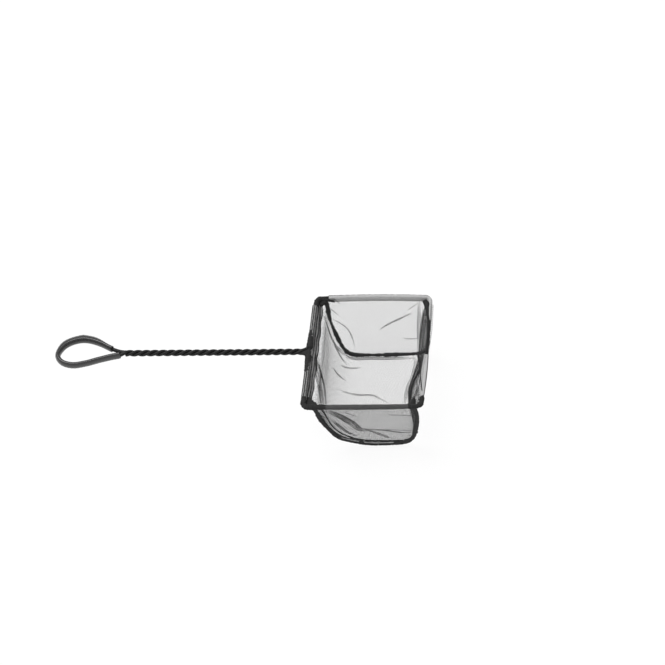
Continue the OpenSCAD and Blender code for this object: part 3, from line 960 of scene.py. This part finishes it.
# Pleats of the wrap: points as millimetres from the handle-side rail and across, then width,
# height and girth
HANDLE_PLEATS = [
    ([(5, 5), (7.5, -6.5), (8.5, -13.5), (10.5, -27), (23.5, -39.5), (34.5, -46)], 1.6, 2.0, 11),
    ([(10, 7), (8, -5.5), (16.5, -14), (31, -17), (42, -22.5), (51.5, -36)], 1.6, 1.4, 10),
    ([(8, 6), (9, -6), (13, -14), (20, -24), (30, -30), (42, -38)], 9.0, 0.8, 12),
    ([(4, 56), (6, 42), (7, 28), (7, 10)], 1.2, 3.0, 8),
    ([(9, 48), (25, 47), (40, 46.5), (66, 46.5), (82, 47.5)], 2.4, 0.4, 8),
    ([(52.5, 44), (67, 43.5), (87, 38.5)], 1.6, 0.9, 6),
    ([(54, 44.5), (72, 49), (96, 47.5)], 1.2, 0.6, 4),
    ([(59.5, 20.5), (73, 19.5), (87, 19.5)], 1.8, 0.8, 6),
]
BOTTOM_PLEATS = [
    ([(78, 47.5), (97.5, 47.5), (111, 48), (132.5, 47.5), (151, 47)], 3.0, 0.4, 12),
    ([(149, 50), (152, 42.5), (151.5, 33), (150.5, 23.5), (148, 14.5), (146.5, 4), (147, -8)], 3.4, 0.5, 13),
    ([(75, 32.5), (86, 35), (102.5, 38)], 1.6, 0.8, 6),
    ([(76.5, 3.5), (90, 5), (101, 4.5), (114, 4.5), (122.5, 0), (130, -4)], 1.8, 0.9, 6.5),
]
END_PLEATS = [
    ([(224, 55), (224, 35), (224, 10), (220, -8), (214, -22), (219, -36), (224, -50)], 2.2, 0.8, 9),
    ([(205, 32), (202, 15), (204, 0), (199, -25), (205, -46)], 5.0, 1.6, 14),
    ([(214, 32), (211, 15), (213, 0), (208, -25), (212, -50)], 5.0, 1.6, 14),
    ([(190, 32), (184, 15), (190, 2), (184, -20), (192, -44)], 4.0, 1.6, 13),
    ([(229, 57), (227, 38), (230, 20), (228, 4)], 3.0, 1.2, 9),
    ([(235, 59), (234, 44), (235, 30), (233, 12)], 3.6, 1.0, 12),
]
# The gathers under the two rails: how far apart they are and how far down they reach
GATHER_STEP = 2.3
GATHERED = 8.0
print(len(HANDLE_PLEATS) + len(BOTTOM_PLEATS) + len(END_PLEATS), "pleats on the strip")


# %% The strip as a surface
def wrap_edges(s):
    """How far across the wrap reaches at s: to the near seam and to the far one."""
    return np.interp(s, WRAP_S, NEAR_Y), np.interp(s, WRAP_S, FAR_Y)


def wrap_at(s, y):
    """The wrap at s millimetres from the handle-side rail along its middle, and y across it."""
    low, high = wrap_edges(s)
    return wrap_surface(np.interp(s, WRAP_S, WRAP_TABLE), np.clip((y - low) / (high - low), 0, 1))


def gathered_wrap(s, y):
    """The wrap, gathered under its two rails: s moves by a sine wave that crowds and parts the threads."""
    from_rail = np.minimum(s, WRAP_S[-1] - s)
    full = 1 - soft_step((from_rail - GATHERED * 0.6) / (GATHERED * 0.5))
    wave = from_rail * 2 * np.pi / GATHER_STEP + 0.8 * np.sin(y * 0.11) + 0.5 * np.sin(y * 0.31 + 1)
    crowd = 0.9 * GATHER_STEP / (2 * np.pi) * np.sin(wave) * full * np.sign(WRAP_S[-1] / 2 - s)
    return wrap_at(np.clip(s - crowd, 0, WRAP_S[-1]), y)


def inside_wrap(s, y):
    """Whether a point of the wrap lies between its two seams."""
    low, high = wrap_edges(s)
    return (y > low + SEWN_IN) & (y < high - SEWN_IN) & (s > 0) & (s < WRAP_S[-1])


print("strip", *(round(float(w[1] - w[0])) for w in (wrap_edges(0), wrap_edges(WRAP_S[-1] / 2))), "mm wide")

# %% The strip's netting
# The strip is shown in three pieces, cut between two rows of hexagons
WRAP_PARTS = (("net_handle_side", HANDLE_PLEATS), ("net_bottom", BOTTOM_PLEATS), ("net_end_side", END_PLEATS))
ROW_PAIR = 3 * HEX_SIDE
cuts = np.round(np.linspace(0, WRAP_S[-1], len(WRAP_PARTS) + 1) / ROW_PAIR) * ROW_PAIR
for (name, table), low, high in zip(WRAP_PARTS, cuts[:-1], cuts[1:]):
    s, y = zigzags((low, high), (-MOUTH_W / 2, MOUTH_W / 2))
    doubled, pleat_area = pleats(wrap_at, table)
    obj = netting(name, [(s, y, gathered_wrap, inside_wrap(s, y) & (s < high + 0.01)), *doubled])
    area = cut_area(inside_wrap, (low, high), (-MOUTH_W / 2, MOUTH_W / 2)) + pleat_area
    length = (high - low + 1) * MM
    sewn_sheet(obj, "net_wrap", length, MOUTH_W * MM + pleat_area / length, area)
print("strip cut at", np.round(cuts, 1), "mm")

# %% [markdown]
# ## The side panels
#
# Each side panel is flat and leans in towards the bottom. On a real net it is cut from
# the same netting and sewn to the strip all along its edge. The threads are laid over a
# whole rectangle, and only those inside the seam's outline are kept, as scissors would.
# A Boolean cut of so many thin threads would be slow and leave open ends.

# %% The pleats of the side panels
FAR_PLEATS = [
    ([(99.5, 7.5), (88.5, 18)], 1.0, 0.5, 3.5),
    ([(93.5, 21), (80, 30.5), (70, 37.5), (61.5, 45)], 1.8, 1.0, 7),
    ([(12.5, 13), (21.5, 24)], 1.0, 0.5, 3.5),
    ([(14, 27.5), (27.5, 39), (34, 51), (38.5, 70)], 1.2, 0.7, 5),
    ([(85.5, 55.5), (89.5, 58.5), (101.5, 58)], 1.0, 0.5, 3.5),
    ([(99.4, 4), (100.1, 25), (100.6, 46.5), (101.6, 68), (101.1, 80)], 3.3, 0.4, 9.5),
]
NEAR_PLEATS = [
    ([(12, 3.2), (40, 3.4), (75, 3.4), (103, 3.2)], 4.0, 0.6, 12),
    ([(22.5, 6), (33.3, 17.5), (44.5, 33), (53, 48.5), (62, 52)], 8.0, 1.0, 32),
    ([(56, 46), (69, 57), (84, 71)], 3.4, 1.0, 10),
    ([(26, 26), (32, 38), (40, 53), (50, 64)], 3.4, 1.0, 10),
    ([(58.5, 48), (75, 51), (89.5, 56), (104, 57.5)], 1.4, 0.6, 6),
    ([(75, 49.5), (105, 53)], 1.0, 0.5, 4),
    ([(79, 17), (93.5, 18.5), (102.5, 20)], 1.0, 0.5, 4),
    ([(36.5, 9), (52.5, 22.5)], 1.0, 0.5, 4),
    ([(15, 8), (20, 34), (28, 54), (39, 68), (52, 75)], 3.0, 0.8, 9),
]
print(len(FAR_PLEATS), "and", len(NEAR_PLEATS), "pleats on the far and the near panel")


# %% The side panels' netting
def within(px, pz, outline):
    """Whether points lie inside an outline, by counting how many of its edges lie to their right."""
    a, b = outline, np.roll(outline, -1, axis=0)
    crossing = (a[:, 1] > pz[..., None]) != (b[:, 1] > pz[..., None])
    x = a[:, 0] + (pz[..., None] - a[:, 1]) * (b[:, 0] - a[:, 0]) / (b[:, 1] - a[:, 1] + 1e-9)
    return ((px[..., None] < x) & crossing).sum(axis=-1) % 2 == 1


def panel_netting(name, node, side, shares, table):
    """One side panel: threads run along the mouth, cut off at the seam and at the hem."""
    outline = curve(np.array(shares) * [MOUTH_L, BAG_DEPTH], 120)
    top = TUCKED * BAG_DEPTH
    outline = np.vstack([[outline[0, 0], top], outline, [outline[-1, 0], top]])
    inward = outline.mean(axis=0) - outline
    inset = outline + inward * SEWN_IN / np.linalg.norm(inward, axis=1, keepdims=True)

    def surface(x, depth):
        return panel_surface(side, x, depth)

    def inside(x, depth):
        return within(x, depth, outline)

    s, y = zigzags((0, MOUTH_L), (top, BAG_DEPTH))
    doubled, pleat_area = pleats(surface, table, -1.0)
    obj = netting(name, [(s, y, surface, within(s, y, inset)), *doubled])
    area = cut_area(inside, (0, MOUTH_L), (0, BAG_DEPTH)) + pleat_area
    sewn_sheet(obj, node, MOUTH_L * MM, BAG_DEPTH * MM + pleat_area / (MOUTH_L * MM), area)


panel_netting("net_far_side", "net_far_panel", 1, FAR_SEAM, FAR_PLEATS)
panel_netting("net_near_side", "net_near_panel", -1, NEAR_SEAM, NEAR_PLEATS)
print("side panels", round(BAG_DEPTH * (1 - TUCKED), 1), "mm deep")

# %% [markdown]
# ## Bindings
#
# Each seam is bound with a folded strip of tape, and an overlocking thread runs round it
# in close turns. That makes the seams the darkest and the most uneven lines of the bag.
# The thread is a real helix and not a bump, because it shows at the outline. The near
# seam has a second line of stitching inside it.

# %% Seam bindings
BINDING_SIDES = 14
COIL_PITCH = 2.2
COIL_R = 0.34
UNEVEN, UNEVEN_WAVES = 0.4, 45
ACROSS = (0, 1, 0)


def binding(name, node, line, seed):
    """A folded tape along a seam, with its overlocking thread as a helix round it."""
    path = evenly(line, TAPE_STEP)
    uneven = ripple(seed, len(path), UNEVEN, UNEVEN_WAVES)
    a, b = BINDING_W / 2 - 0.1 + uneven, BINDING_T / 2 + uneven
    tape = bar(name, path, a, b, BINDING_SIDES, TAPE, ref=ACROSS)
    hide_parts(node)
    fine = evenly(line, COIL_PITCH / 10)
    side, rise = frames(fine, ACROSS)
    turns = distances(fine)[:, None] * 2 * np.pi / COIL_PITCH
    uneven = ripple(seed, len(fine), UNEVEN, UNEVEN_WAVES)
    coil = fine + side * (BINDING_W / 2 + 0.05 + uneven) * np.cos(turns)
    coil = coil + rise * (BINDING_T / 2 + 0.15 + uneven) * np.sin(turns)
    thread = bar(name + "_overlock", coil, COIL_R, COIL_R, 5, STITCH, ref=(0.3, 0.9, 0.2))
    print(name, length_mm(path), "mm, overlocked in", round(turns[-1, 0] / (2 * np.pi)), "turns")


binding("far_seam_tape", "far_seam_binding", FAR_LINE, 11)
binding("near_seam_tape", "near_seam_binding", NEAR_LINE, 21)

# %% The second line of stitching
# Its places along the mouth and down the near panel
NEAR_INNER = [(17, 2), (21, 17), (26, 38), (33, 54), (43.5, 66), (56, 73), (74, 75.5), (94, 75)]
INNER_R = 0.7
along, depth = curve(NEAR_INNER, 200).T
inner_line = panel_surface(-1, along, depth) + [0, -0.5, 0]
thick = INNER_R + ripple(27, len(inner_line), 0.12, 50)
stitching = bar("near_seam_stitching", inner_line, thick, thick, CORD_SIDES, CORD, ref=ACROSS)
print("stitching", length_mm(inner_line), "mm")

# %% [markdown]
# ## Hems
#
# The netting is turned over the rails and sewn to itself, so the rails lie in narrow
# tubes of gathered cloth. Near the corners and at the throat the wire is bare. Each tube
# is a ring carried along its rail, and the ring's radius swings with the angle. That gives
# the gathers with few faces, and they stay on the rail when its shape is changed.

# %% Hem helpers
HEM_SIDES = 28
HEM_CLOTH = HEM_WALL - 0.1
# How far a deep tube's middle hangs below its rail, for each millimetre that it is deeper than wide
HANG = 1.15


def hem_tube(name, path, material, hang=0.0, folds=9, depth=0.16, seed=5, taper=0.0):
    """A gathered tube round a rail: its radius swings with the cosine of folds times the angle.

    hang is how much deeper than wide the tube is, below the rail; taper is how long its narrowing end is.
    """
    path = evenly(path, HEM_STEP)
    swirl = ripple(seed, len(path), 1.2, 9)
    swing = depth * np.cos(folds * ring_angles(HEM_SIDES) + swirl) + ripple(seed + 1, len(path), 0.1, 40)
    left = (distances(path)[-1] - distances(path))[:, None]
    narrow = 0.5 + 0.5 * soft_step(left / taper) if taper else 1.0
    wide, high = (HEM_R + swing) * narrow, (HEM_R + hang + swing) * narrow
    print(name, length_mm(path), "mm long")
    return sleeve(name, path - [0, 0, hang * HANG], wide, high, HEM_CLOTH, HEM_SIDES, material)


def cloth(name, grid, thickness, material, uv):
    """A closed sheet: the grid of points and the same grid moved by the thickness, joined round the rim."""
    rows, cols = grid.shape[:2]
    across = np.cross(np.gradient(grid, axis=0), np.gradient(grid, axis=1))
    back = grid - unit(across) * thickness
    size = rows * cols
    rim = np.concatenate([
        np.arange(rows) * cols, (rows - 1) * cols + np.arange(1, cols),
        np.arange(rows - 2, -1, -1) * cols + cols - 1, np.arange(cols - 2, 0, -1),
    ])
    after = np.roll(rim, -1)
    sides = np.stack([rim, rim + size, after + size, after], axis=-1)
    points = np.concatenate([grid.reshape(-1, 3), back.reshape(-1, 3)])
    quads = [grid_quads(rows, cols), grid_quads(rows, cols, False, True, size), sides]
    return piece(name, points, quads, material, np.concatenate([uv.reshape(-1, 2)] * 2))


def rail_net(name, path, radius, material, thread=0.09, lay=7.0):
    """A see-through tube of netting: three threads that wind each way round the path, one turn in lay."""
    fine = evenly(path, FINE_STEP)
    side, rise = frames(fine)
    winding = distances(fine)[:, None] * 2 * np.pi / lay
    angles = [start + way * winding for start in np.arange(3) * 2 * np.pi / 3 for way in (1, -1)]
    lines = [fine + radius * (side * np.cos(angle) + rise * np.sin(angle)) for angle in angles]
    points = np.concatenate([around(line, thread, thread, 3).reshape(-1, 3) for line in lines])
    quads = [grid_quads(len(fine), 3, True, False, i * len(fine) * 3) for i in range(len(lines))]
    return piece(name, points, [np.concatenate(quads)], material)


# %% The far hem, which hangs deep and goes on round the far end corner
FAR_FROM, FAR_END_TO = 0.07, 0.755
far_path = np.vstack([
    rail("far", np.linspace(FAR_FROM, 1, 40)), corner(1, 1, 90), rail("end", np.linspace(1, FAR_END_TO, 10))
])
# The far hem's pale grey is painted light on the black nylon
far_hem = hem_tube("hem_far_rail", far_path, PAINTED_LIGHT_HEM, hang=2.05, folds=7, depth=0.08, seed=31, taper=8.0)
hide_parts("hem_far")
# Its sewn edge along the top, and the rim of its open mouth
edge_path = evenly(far_path[:-10], HEM_STEP) + [0, 1.2, 1.0]
edge_radius = 0.45 + ripple(35, len(edge_path), 0.1, 40)
mouth_line = on_mouth((15.9, 60.4, 1.5), (18, 61.3, -0.4), (20.5, 61.6, -4), (22.3, 61.5, -7.5))
far_edge = bundle(
    "far_hem_edge", [edge_path, evenly(mouth_line, HEM_STEP)], [edge_radius, 0.32], CORD_SIDES, HEM
)
print("its mouth's rim", length_mm(mouth_line), "mm long")

# %% The near hem, and the see-through one at the end
near_from, near_to = BARE_HANDLE / ALONG_RAIL, 1 - BARE_END / ALONG_RAIL
near_hem = hem_tube("hem_near_rail", rail("near", np.linspace(near_from, near_to, 40)), HEM, seed=41)
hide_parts("hem_near")
# The end hem hangs outside its rail at the far side, by END_OUT, and END_SWAY further in at the near side
END_OUT, END_SWAY, END_LOW, END_NET_R = 1.0, 3.0, 0.4, 2.3
side_from = BARE_SIDE / (2 * STRAIGHT)
end_path = rail("end", np.linspace(side_from, 1 - side_from, 40))
end_path[:, 0] += END_OUT - END_SWAY * soft_step(0.5 - end_path[:, 1] / 60)
end_path[:, 2] -= END_LOW
end_hem = rail_net("hem_end_rail", end_path, END_NET_R, YARN)
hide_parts("hem_end")
print("end hem", length_mm(end_path), "mm long")

# %% The handle-side hem, in two halves with cords on it
# Where the cords lie, in degrees round the hem, and how far from the rail; the first one is thicker
CORD_ANGLES = (166, 98, 46)
CORD_OUT = 2.2
hem_throat = THROAT_W + 2 * WIRE_R
for side, label in ((-1, "near"), (1, "far")):
    half_path = leaned(0, side * np.linspace(hem_throat, STRAIGHT - BARE_SIDE, 30), 0)
    handle_hem = hem_tube("hem_handle_rail_" + label, half_path, BAND, seed=61 + side)
    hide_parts("hem_handle")
    path = evenly(half_path, CORD_STEP)
    lines, radii = [], []
    for number, degrees in enumerate(CORD_ANGLES):
        angle = np.radians(degrees) + ripple(71 + number + 10 * side, len(path), 0.06, 6)
        lines.append(path + CORD_OUT * np.concatenate([np.cos(angle), 0 * angle, np.sin(angle)], axis=1))
        radii.append((0.62 if number == 0 else 0.45) + ripple(75 + number, len(path), 0.08, 50))
    cords = bundle("hem_cords_" + label, lines, radii, CORD_SIDES, CORD)
    print(len(lines), "cords on the", label, "half")

# %% [markdown]
# ## The end wall and the doubled hem
#
# At the end rail the bag is sewn less tidily than elsewhere. One cord crosses the wall
# from the far seam's end up to the rail, and another follows a fold down the wall. The
# near half of the hem is doubled, so it is opaque and hides the rail, with one cord on
# its outer side and one where it meets the wall. Each is a line through a few places on
# the cloth, thickened into a cord, because single yarns like these are too thin to model
# as cloth.

# %% Cords on the end wall
wall_cords = [
    curve(on_mouth((101.5, 5.4, -14), (106.6, 1.5, -6), (112.2, -0.3, 0.8)), 50),
    curve(on_mouth(
        (103.3, 1.4, -10), (105.7, -12.5, -5), (105.5, -20.7, -5), (101.8, -26.4, -10), (99.8, -34.3, -12),
        (99.8, -44.5, -14)
    ), 50),
]
wall_radii = [0.85, np.linspace(1.15, 0.7, 50)[:, None]]
wall_cord = bundle("end_wall_cord", wall_cords, wall_radii, THICK_CORD_SIDES, CORD)
print("cords on the end wall", [length_mm(line) for line in wall_cords], "mm")

# %% The doubled near half of the end hem
DOUBLED_FROM, DOUBLED_TO, DOUBLED_STEPS = 0.455, 0.04, 40
# Its half width at the ends, how much it swells between them, its half height and its cloth
DOUBLED_W, SWELLING, DOUBLED_H, DOUBLED_CLOTH = 1.5, 1.4, 2.0, 0.5
near_half = rail("end", np.linspace(DOUBLED_FROM, DOUBLED_TO, DOUBLED_STEPS))
swell = np.sin(np.pi * np.linspace(0.08, 0.92, DOUBLED_STEPS))[:, None] ** 0.6
outwards = np.array([1, 0, 0]) * swell
# The doubled hem's pale grey is painted light on the black nylon
doubled_hem = sleeve(
    "hem_end_doubled", near_half - 0.7 * outwards - [0.2, 0, 0.2],
    DOUBLED_W + SWELLING * swell + ripple(201, DOUBLED_STEPS, 0.1, 9),
    DOUBLED_H + ripple(202, DOUBLED_STEPS, 0.08, 9), DOUBLED_CLOTH, HEM_SIDES, PAINTED_LIGHT_HEM
)
# The cord on its outer side, the one at its inner border, and the edge of the slit between hem and wall,
# drawn pale as painted highlight
outer_line = near_half + 0.9 * outwards + [0.8, 0, 0.6]
border_line = on_mouth((105.9, -7.4, -4.5), (106.7, -21.6, -1.3), (108.5, -36.7, 1.6), (110.1, -46.5, 2.0))
end_cord = bundle("hem_end_cord", [outer_line, curve(border_line, 30)], [0.5, 0.42], CORD_SIDES, CORD)
slit_line = on_mouth((105.5, -32, -1.7), (106.8, -39.4, 0.35), (109, -48.8, 1.9), (110, -51.7, 2.0))
end_slit = bundle("hem_end_edge", [curve(slit_line, 30)], [0.45], CORD_SIDES, PAINTED_LIGHT_HEM)
print("doubled hem", length_mm(near_half), "mm long")

# %% [markdown]
# ## The near seam's fold, and the throat
#
# The near seam is seen from outside and from above. Between its two rows of
# overlocking the folded edge of the cloth is drawn pale, though not all along: its pale
# grey is painted highlight. Below it the seam's lower edge is the darkest line of the bag.
# At the throat, where the rails part from the twist, a few turns of cord are bound flat
# over the wires. The fold and the edge are bundles of cord laid along the seam's own line,
# so that they follow it.

# %% The fold of the near seam
# Up and towards the near side, where the tape turns the fold
FOLD_WAY = np.array([0, -0.574, 0.819])
FOLD_OUT = 2.1
# The stretches of the seam's points along which each shows
FOLDS, EDGE = ((86, 112), (118, 148)), slice(28, 178)
folds = [evenly(NEAR_LINE[a:b], TAPE_STEP) + FOLD_OUT * FOLD_WAY + [0, 0.25, 0.2] for a, b in FOLDS]
fold_radii = [0.4 + ripple(91 + k, len(line), 0.12, 40) for k, line in enumerate(folds)]
# The fold's pale grey is painted highlight
near_fold = bundle("near_seam_fold", folds, fold_radii, CORD_SIDES, PAINTED_LIGHT_HEM)
edge_line = evenly(NEAR_LINE[EDGE], TAPE_STEP) + [0, -1.3, -1.2]
edge_radii = [0.68 + ripple(97, len(edge_line), 0.16, 60)]
near_edge = bundle("near_seam_edge", [edge_line], edge_radii, THICK_CORD_SIDES, CORD)
print("fold", [length_mm(line) for line in folds], "mm, edge", length_mm(edge_line), "mm")

# %% The throat's binding
BOUND_FROM, BOUND_TO = -9.0, -0.5
BOUND_HALF_W, BOUND_HALF_H, FLARE = 2.9, 2.2, 3.2
RIDGE, RIDGE_WAVE = 0.25, 2.4
throat_path = leaned(np.linspace(BOUND_FROM, BOUND_TO, 24), 0, 0)
# It flares towards the rail, and the turns of its cord show as rounded ridges
from_start = throat_path[:, :1] - BOUND_FROM
flare = BOUND_HALF_W + FLARE * soft_step(from_start / -BOUND_FROM)
ridges = RIDGE * np.abs(np.sin(throat_path[:, :1] * RIDGE_WAVE))
throat = bar("throat_binding", throat_path, flare + ridges, BOUND_HALF_H - 0.1 * flare + ridges, 24, CORD)
print("throat bound over", BOUND_TO - BOUND_FROM, "mm")

# %% [markdown]
# ## The gathered band and the corners
#
# Along the handle-side rail the netting is drawn together into a narrow band, with cords
# that run lengthwise and meet in the corners. At each corner the cloth is bunched round
# the wire in thick dark lumps. The band is one sheet whose height is a wave across it.
# The lumps are tubes with an uneven radius, where sculpting would take many more faces
# and couldn't be changed by a number.

# %% The gathered band
BAND_W, BAND_DROP = 6.4, 5.0
BAND_THICK = 0.35
# Where the band starts: inside the rail and below it
BAND_IN, BAND_LOW = 1.2, -1.6


def band_place(over, across):
    """A point of the band, at over from -1 to 1 along the rail and across from 0 to 1 away from it.

    It falls by BAND_DROP times across^1.3, with a wave of cosines for its folds, and narrows to its ends.
    """
    across = np.clip(across, 0, 1)
    narrow = 1 - 0.1 * np.abs(over) ** 5 + 0.06 * np.sin(over * 17)
    x = BAND_IN + BAND_W * narrow * across
    z = BAND_LOW - BAND_DROP * across**1.3 + 0.35 * np.cos(14 * across + 1.5 * np.sin(over * 8))
    return leaned(x, over * (STRAIGHT - 1), z)


over, across = np.meshgrid(np.linspace(-1, 1, 240), np.linspace(0, 1, 40), indexing="ij")
band_uv = np.stack([over * STRAIGHT, across * BAND_W * 1.4], axis=-1)
band = cloth("gathered_band", band_place(over, across)[:, ::-1], BAND_THICK, BAND, band_uv[:, ::-1])
print("band", len(band.data.polygons), "faces")

# %% The cords of the band
# Each cord: its place across the band at the near end, the middle and the far end, and its radius
CORDS = [(0.33, 0.35, 0.34, 0.4), (0.64, 0.66, 0.62, 0.36), (0.95, 1.0, 0.92, 0.46)]
CORD_LIFT = 0.45
along_band = np.linspace(-1, 1, 260)
lines, radii = [], []
for number, (*places, radius) in enumerate(CORDS):
    share = through(np.array(places)[:, None], (along_band + 1) / 2)[:, 0]
    share = share + 0.02 * np.sin(along_band * (9 + number) + number * 2)
    lines.append(band_place(along_band, share) + [0, 0, CORD_LIFT])
    radii.append(radius + ripple(80 + number, len(along_band), 0.09, 50))
band_cords = bundle("band_cords", lines, radii, THICK_CORD_SIDES, CORD)
print(len(CORDS), "cords of", length_mm(lines[0]), "mm")

# %% Bunched cloth round the wire
LUMP_SIDES = 20


def gather(name, path, seed, radii):
    """Cloth bunched round the wire: a thick tube whose radius swings with the angle and along it."""
    path = evenly(path, FINE_STEP)
    rows = len(path)
    radius = np.interp(np.linspace(0, 1, rows), np.linspace(0, 1, len(radii)), radii)[:, None]
    swing = 0.14 * np.cos(4 * ring_angles(LUMP_SIDES) + ripple(seed, rows, 2.0, 6))
    thick = radius + swing + ripple(seed + 1, rows, 0.22, 16)
    lump = bar(name, path, thick, thick, LUMP_SIDES, CORD)
    print(name, length_mm(path), "mm long")


far_handle_path = np.vstack([
    leaned(0.6, np.linspace(54, STRAIGHT, 5), 0), corner(-1, 1, 180) + [0.6, -0.8, 0],
    on_mouth((8, 61.6, -0.6), (11, 61.1, -1.0), (14, 60.5, -1.3), (16.5, 59.9, -1.5)),
])
near_handle_path = np.vstack([
    rail("near", np.linspace(15 / ALONG_RAIL, 0, 12)), corner(-1, -1, 270),
    leaned(0, -np.linspace(STRAIGHT, 53, 5), 0),
])
near_end_path = np.vstack([
    rail("end", np.linspace(5 / (2 * STRAIGHT), 0, 12)), corner(1, -1, 0),
    rail("near", np.linspace(1, 0.94, 12)),
])
far_end_path = on_mouth(
    (105.5, 57.3, 0.2), (106.6, 56, 0.2), (107.6, 54.4, 0.2), (108.0, 48, 0.6), (109.2, 41, 1.2),
    (110.2, 35, 1.6), (111.2, 28, 1.2)
)
throat_run = np.linspace(5.5, 22.5, 36)
# Each lump: its name, path and seed, and its radii along the path
GATHERS = [
    ("gather_far_handle", far_handle_path, 101, (2.3, 2.4, 2.4, 2.1, 1.5, 1.0)),
    ("gather_near_handle", near_handle_path, 111, (2.6,)),
    ("gather_near_end", near_end_path, 121, (2.3,)),
    ("gather_far_end", far_end_path, 131, (2.5, 2.8, 2.0, 1.3, 1.2, 1.1, 1.0)),
    ("gather_throat_near", leaned(-0.6, -throat_run, 0), 171, (3.2, 2.3)),
    ("gather_throat_far", leaned(-0.6, throat_run, 0), 181, (3.2, 2.3)),
]
for row in GATHERS:
    gather(*row)

# %% Bunched cloth across the corners
WEB_STEPS = 30
WEB_HALF_HEIGHT = 1.5
# How deep a web lies at its inner end, its middle and the corner
WEB_Z = (-3.4, -2.6, -1.6)
# Each web: its name, x and y at these three places, its half widths there, and its seed
WEBS = [
    ("gather_near_handle_web", (4.6, 5.6, 7), (-51, -56, -60), (1.8, 4.4, 6.4), 141),
    ("gather_far_handle_web", (5.0, 5.6, 6.4), (57.5, 59, 60.5), (2.8, 4.0, 5.0), 151),
    ("gather_near_end_web", (103, 102.5, 101), (-52, -57, -60.5), (1.4, 2.6, 3.4), 161),
]
for name, x, y, wide, seed in WEBS:
    x, y, z, half = (np.interp(np.linspace(0, 2, WEB_STEPS), range(3), v) for v in (x, y, WEB_Z, wide))
    half = half[:, None] + ripple(seed, WEB_STEPS, 0.3, 12)
    rough = 0.2 * np.cos(5 * ring_angles(LUMP_SIDES) + ripple(seed + 1, WEB_STEPS, 2.0, 6))
    lump = bar(name, leaned(x, y, z), half + rough, WEB_HALF_HEIGHT + rough, LUMP_SIDES, CORD)
print(len(GATHERS), "gathers and", len(WEBS), "webs")

# %% [markdown]
# ## Finish
#
# Standard view keeps the colours as they are written.

# %% The view transform
bpy.context.scene.view_settings.view_transform = "Standard"
